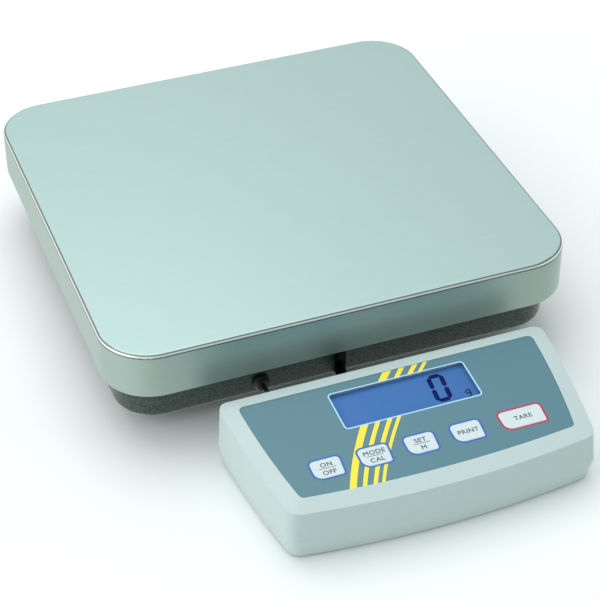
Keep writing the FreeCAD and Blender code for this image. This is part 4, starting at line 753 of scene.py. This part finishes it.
# the zero's bars: middle across, middle up, length and turn in degrees, about the digit's middle
ZERO_SIZE = (8.4, 21.0)
half_width, half_height = ZERO_SIZE[0] / 2, ZERO_SIZE[1] / 2
ZERO_BARS = [
    (0, half_height, ZERO_SIZE[0] - 0.4, 0),
    (0, -half_height, ZERO_SIZE[0] - 0.4, 0),
    (-half_width, half_height / 2, half_height - 0.4, 90),
    (-half_width, -half_height / 2, half_height - 0.4, 90),
    (half_width, half_height / 2, half_height - 0.4, 90),
    (half_width, -half_height / 2, half_height - 0.4, 90),
]
UNIT_BARS = [
    (0, 1.6, 2.6, 0),
    (0, -1.4, 2.6, 0),
    (-1.3, 0.1, 2.6, 90),
    (1.3, -0.9, 5.4, 90),
    (0, -4.1, 2.6, 0),
]
print("bars:", len(ZERO_BARS), "for the zero and", len(UNIT_BARS), "for the unit letter")

# %% Digit pieces

def add_bar(form, across, up, length, turned, width=BAR):
    """One pointed bar of a digit, in millimetres."""
    bar = bmesh.new()
    bmesh.ops.create_grid(bar, x_segments=1, y_segments=1, size=0.5)
    bmesh.ops.scale(bar, vec=(length * MM, width * MM, 1), verts=bar.verts)
    bmesh.ops.bevel(bar, geom=bar.verts[:], offset=width * 0.46 * MM, segments=1, profile=0.5,
                    affect="VERTICES", material=-1)
    turned_bar = Matrix.Rotation(math.radians(turned), 4, "Z")
    placed = Matrix.Translation((across * MM, up * MM, 0)) @ turned_bar
    bmesh.ops.transform(bar, matrix=placed, verts=bar.verts)
    bar_mesh = bpy.data.meshes.new("bar")
    bar.to_mesh(bar_mesh)
    bar.free()
    form.from_mesh(bar_mesh)
    bpy.data.meshes.remove(bar_mesh)


def digit_piece(name, bars, across, forward, width=BAR):
    """A digit or letter made of bars, laid on the glass."""
    form = bmesh.new()
    for middle_across, up, length, turned in bars:
        add_bar(form, middle_across, up, length, turned, width)
    bmesh.ops.solidify(form, geom=form.faces[:], thickness=0.01 * MM)
    lean = Matrix.Identity(4)
    lean[0][1] = DIGIT_LEAN
    bmesh.ops.transform(form, matrix=on_face(across, forward, DIGIT_ABOVE) @ lean, verts=form.verts)
    piece = place_piece(name, form, "base", "lcd_glass")
    piece.data.materials[0] = digit_ink
    return piece


digit_piece("digit_zero", ZERO_BARS, 26.0, 22.0)
digit_piece("unit_letter", UNIT_BARS, 41.6, 31.0, width=UNIT_BAR)
print("digits: a zero of", ZERO_SIZE, "mm and a unit letter")

# %% [markdown]
# ## Feet and cushions
# Each foot turns on a threaded steel stud. A thread is a ridge wound round the rod, and at this
# size its slope can't be seen, so it is turned as a row of rings with the thread's real spacing.
# The four cushions under the pan are moulded rubber, domed on top, with a waist and soft edges.

# %% Threaded studs
THREAD_PITCH = 1.25 * MM
THREAD_DEPTH = 0.55 * MM
CORNERS = ("front_left", "front_right", "back_left", "back_right")
for corner in CORNERS:
    low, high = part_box("foot_stud_" + corner)
    middle = ((low.x + high.x) / 2, (low.y + high.y) / 2)
    radius = (high.x - low.x) / 2
    outline = [(0, low.z), (radius - THREAD_DEPTH, low.z)]
    turns = int((high.z - low.z) / THREAD_PITCH) - 1
    for ring in range(turns):
        root = low.z + THREAD_PITCH * (ring + 0.5)
        outline.append((radius - THREAD_DEPTH, root))
        outline.append((radius, root + THREAD_PITCH / 2))
    outline += [(radius - THREAD_DEPTH, high.z), (0, high.z)]
    form = bmesh.new()
    turn(form, outline, middle, steps=28)
    place_piece("threaded_stud_" + corner, form, "stud_" + corner, "zinc_steel",
                ["foot_stud_" + corner])
print("thread turns:", turns)

# %% Pan cushions
WAIST_CUT = 1.2 * MM
SOFT_EDGE = 1.2 * MM
BORE_RADIUS = 4 * MM
FLANGE_SHARE = 0.35
for corner in CORNERS:
    low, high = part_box("pan_cushion_" + corner)
    middle = ((low.x + high.x) / 2, (low.y + high.y) / 2)
    radius = (high.x - low.x) / 2
    waist = radius - WAIST_CUT
    flange = low.z + (high.z - low.z) * FLANGE_SHARE
    outline = [
        (0, low.z),
        (BORE_RADIUS, low.z),
        (BORE_RADIUS, flange - 0.2 * MM),
        (radius - SOFT_EDGE, flange),
        (radius, flange + SOFT_EDGE),
        (waist, flange + 3 * MM),
        (waist, high.z - 3.5 * MM),
        (radius - 0.4 * MM, high.z - 2 * MM),
        (radius - SOFT_EDGE, high.z - 0.4 * MM),
        (BORE_RADIUS, high.z),
        (0, high.z),
    ]
    form = bmesh.new()
    turn(form, outline, middle, steps=40)
    place_piece("rubber_cushion_" + corner, form, "carrier", "black_rubber",
                ["pan_cushion_" + corner])
print("cushions:", len(CORNERS))

# %% [markdown]
# ## Load cell
# The load cell is a bar with a hole milled through its middle. One end is bolted to the base and
# the other carries the pan, and a load bends the thin walls over the hole. A rigid bar would let
# the upper spacer sink into it under a load. The bar here is a copy of the frame's own solid, cut
# into short lengths, but it is tied to no body and doesn't bend: it stays where it stands.

# %% Load cell cut into lengths
# the cuts lie over the milled hole, where the real bar bends, between its two bolted ends
BEND_START = -28 * MM
BEND_END = 28 * MM
CUTS = 14
form = bmesh.new()
form.from_mesh(frame["nodes"]["load_cell"].data)
bmesh.ops.remove_doubles(form, verts=form.verts, dist=0.001 * MM)
for cut in range(CUTS + 1):
    plane = (BEND_START + (BEND_END - BEND_START) * cut / CUTS, 0, 0)
    everything = form.verts[:] + form.edges[:] + form.faces[:]
    bmesh.ops.bisect_plane(form, geom=everything, dist=0.001 * MM, plane_co=plane, plane_no=(1, 0, 0))
cell_bar = place_piece("load_cell_bar", form, None, "machined_aluminium", ["load_cell"])
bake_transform(cell_bar)

# %% [markdown]
# ## Spirit level
# The round level has a clear domed top with a bubble that floats to its middle when the base
# stands level, inside a printed ring. The bubble is a small flattened dome.

# %% Bubble
vial_low, vial_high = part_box("spirit_level_vial")
vial_middle = ((vial_low.x + vial_high.x) / 2, (vial_low.y + vial_high.y) / 2)
form = bmesh.new()
bubble_top = vial_high.z + 0.02 * MM
bubble_outline = [
    (0, bubble_top - 0.3 * MM),
    (2.2 * MM, bubble_top - 0.25 * MM),
    (2.4 * MM, bubble_top - 0.1 * MM),
    (2.0 * MM, bubble_top),
    (0, bubble_top),
]
turn(form, bubble_outline, vial_middle, steps=32)
place_piece("level_bubble", form, "base", "light_guide")
bubble_radius = max(radius for radius, height in bubble_outline)
print("bubble:", round(2 * bubble_radius / MM, 1), "mm across")

# %% Level ring
RING_INSIDE = 3.1 * MM
RING_OUTSIDE = 3.4 * MM
form = bmesh.new()
ring_low = vial_high.z - 0.05 * MM
ring_high = ring_low + 0.08 * MM
ring_outline = [
    (RING_INSIDE, ring_low),
    (RING_OUTSIDE, ring_low),
    (RING_OUTSIDE, ring_high),
    (RING_INSIDE, ring_high),
    (RING_INSIDE, ring_low),
]
turn(form, ring_outline, vial_middle, steps=40)
place_piece("level_ring", form, "base", "black_plastic")
print("ring:", round(2 * RING_OUTSIDE / MM, 1), "mm across")
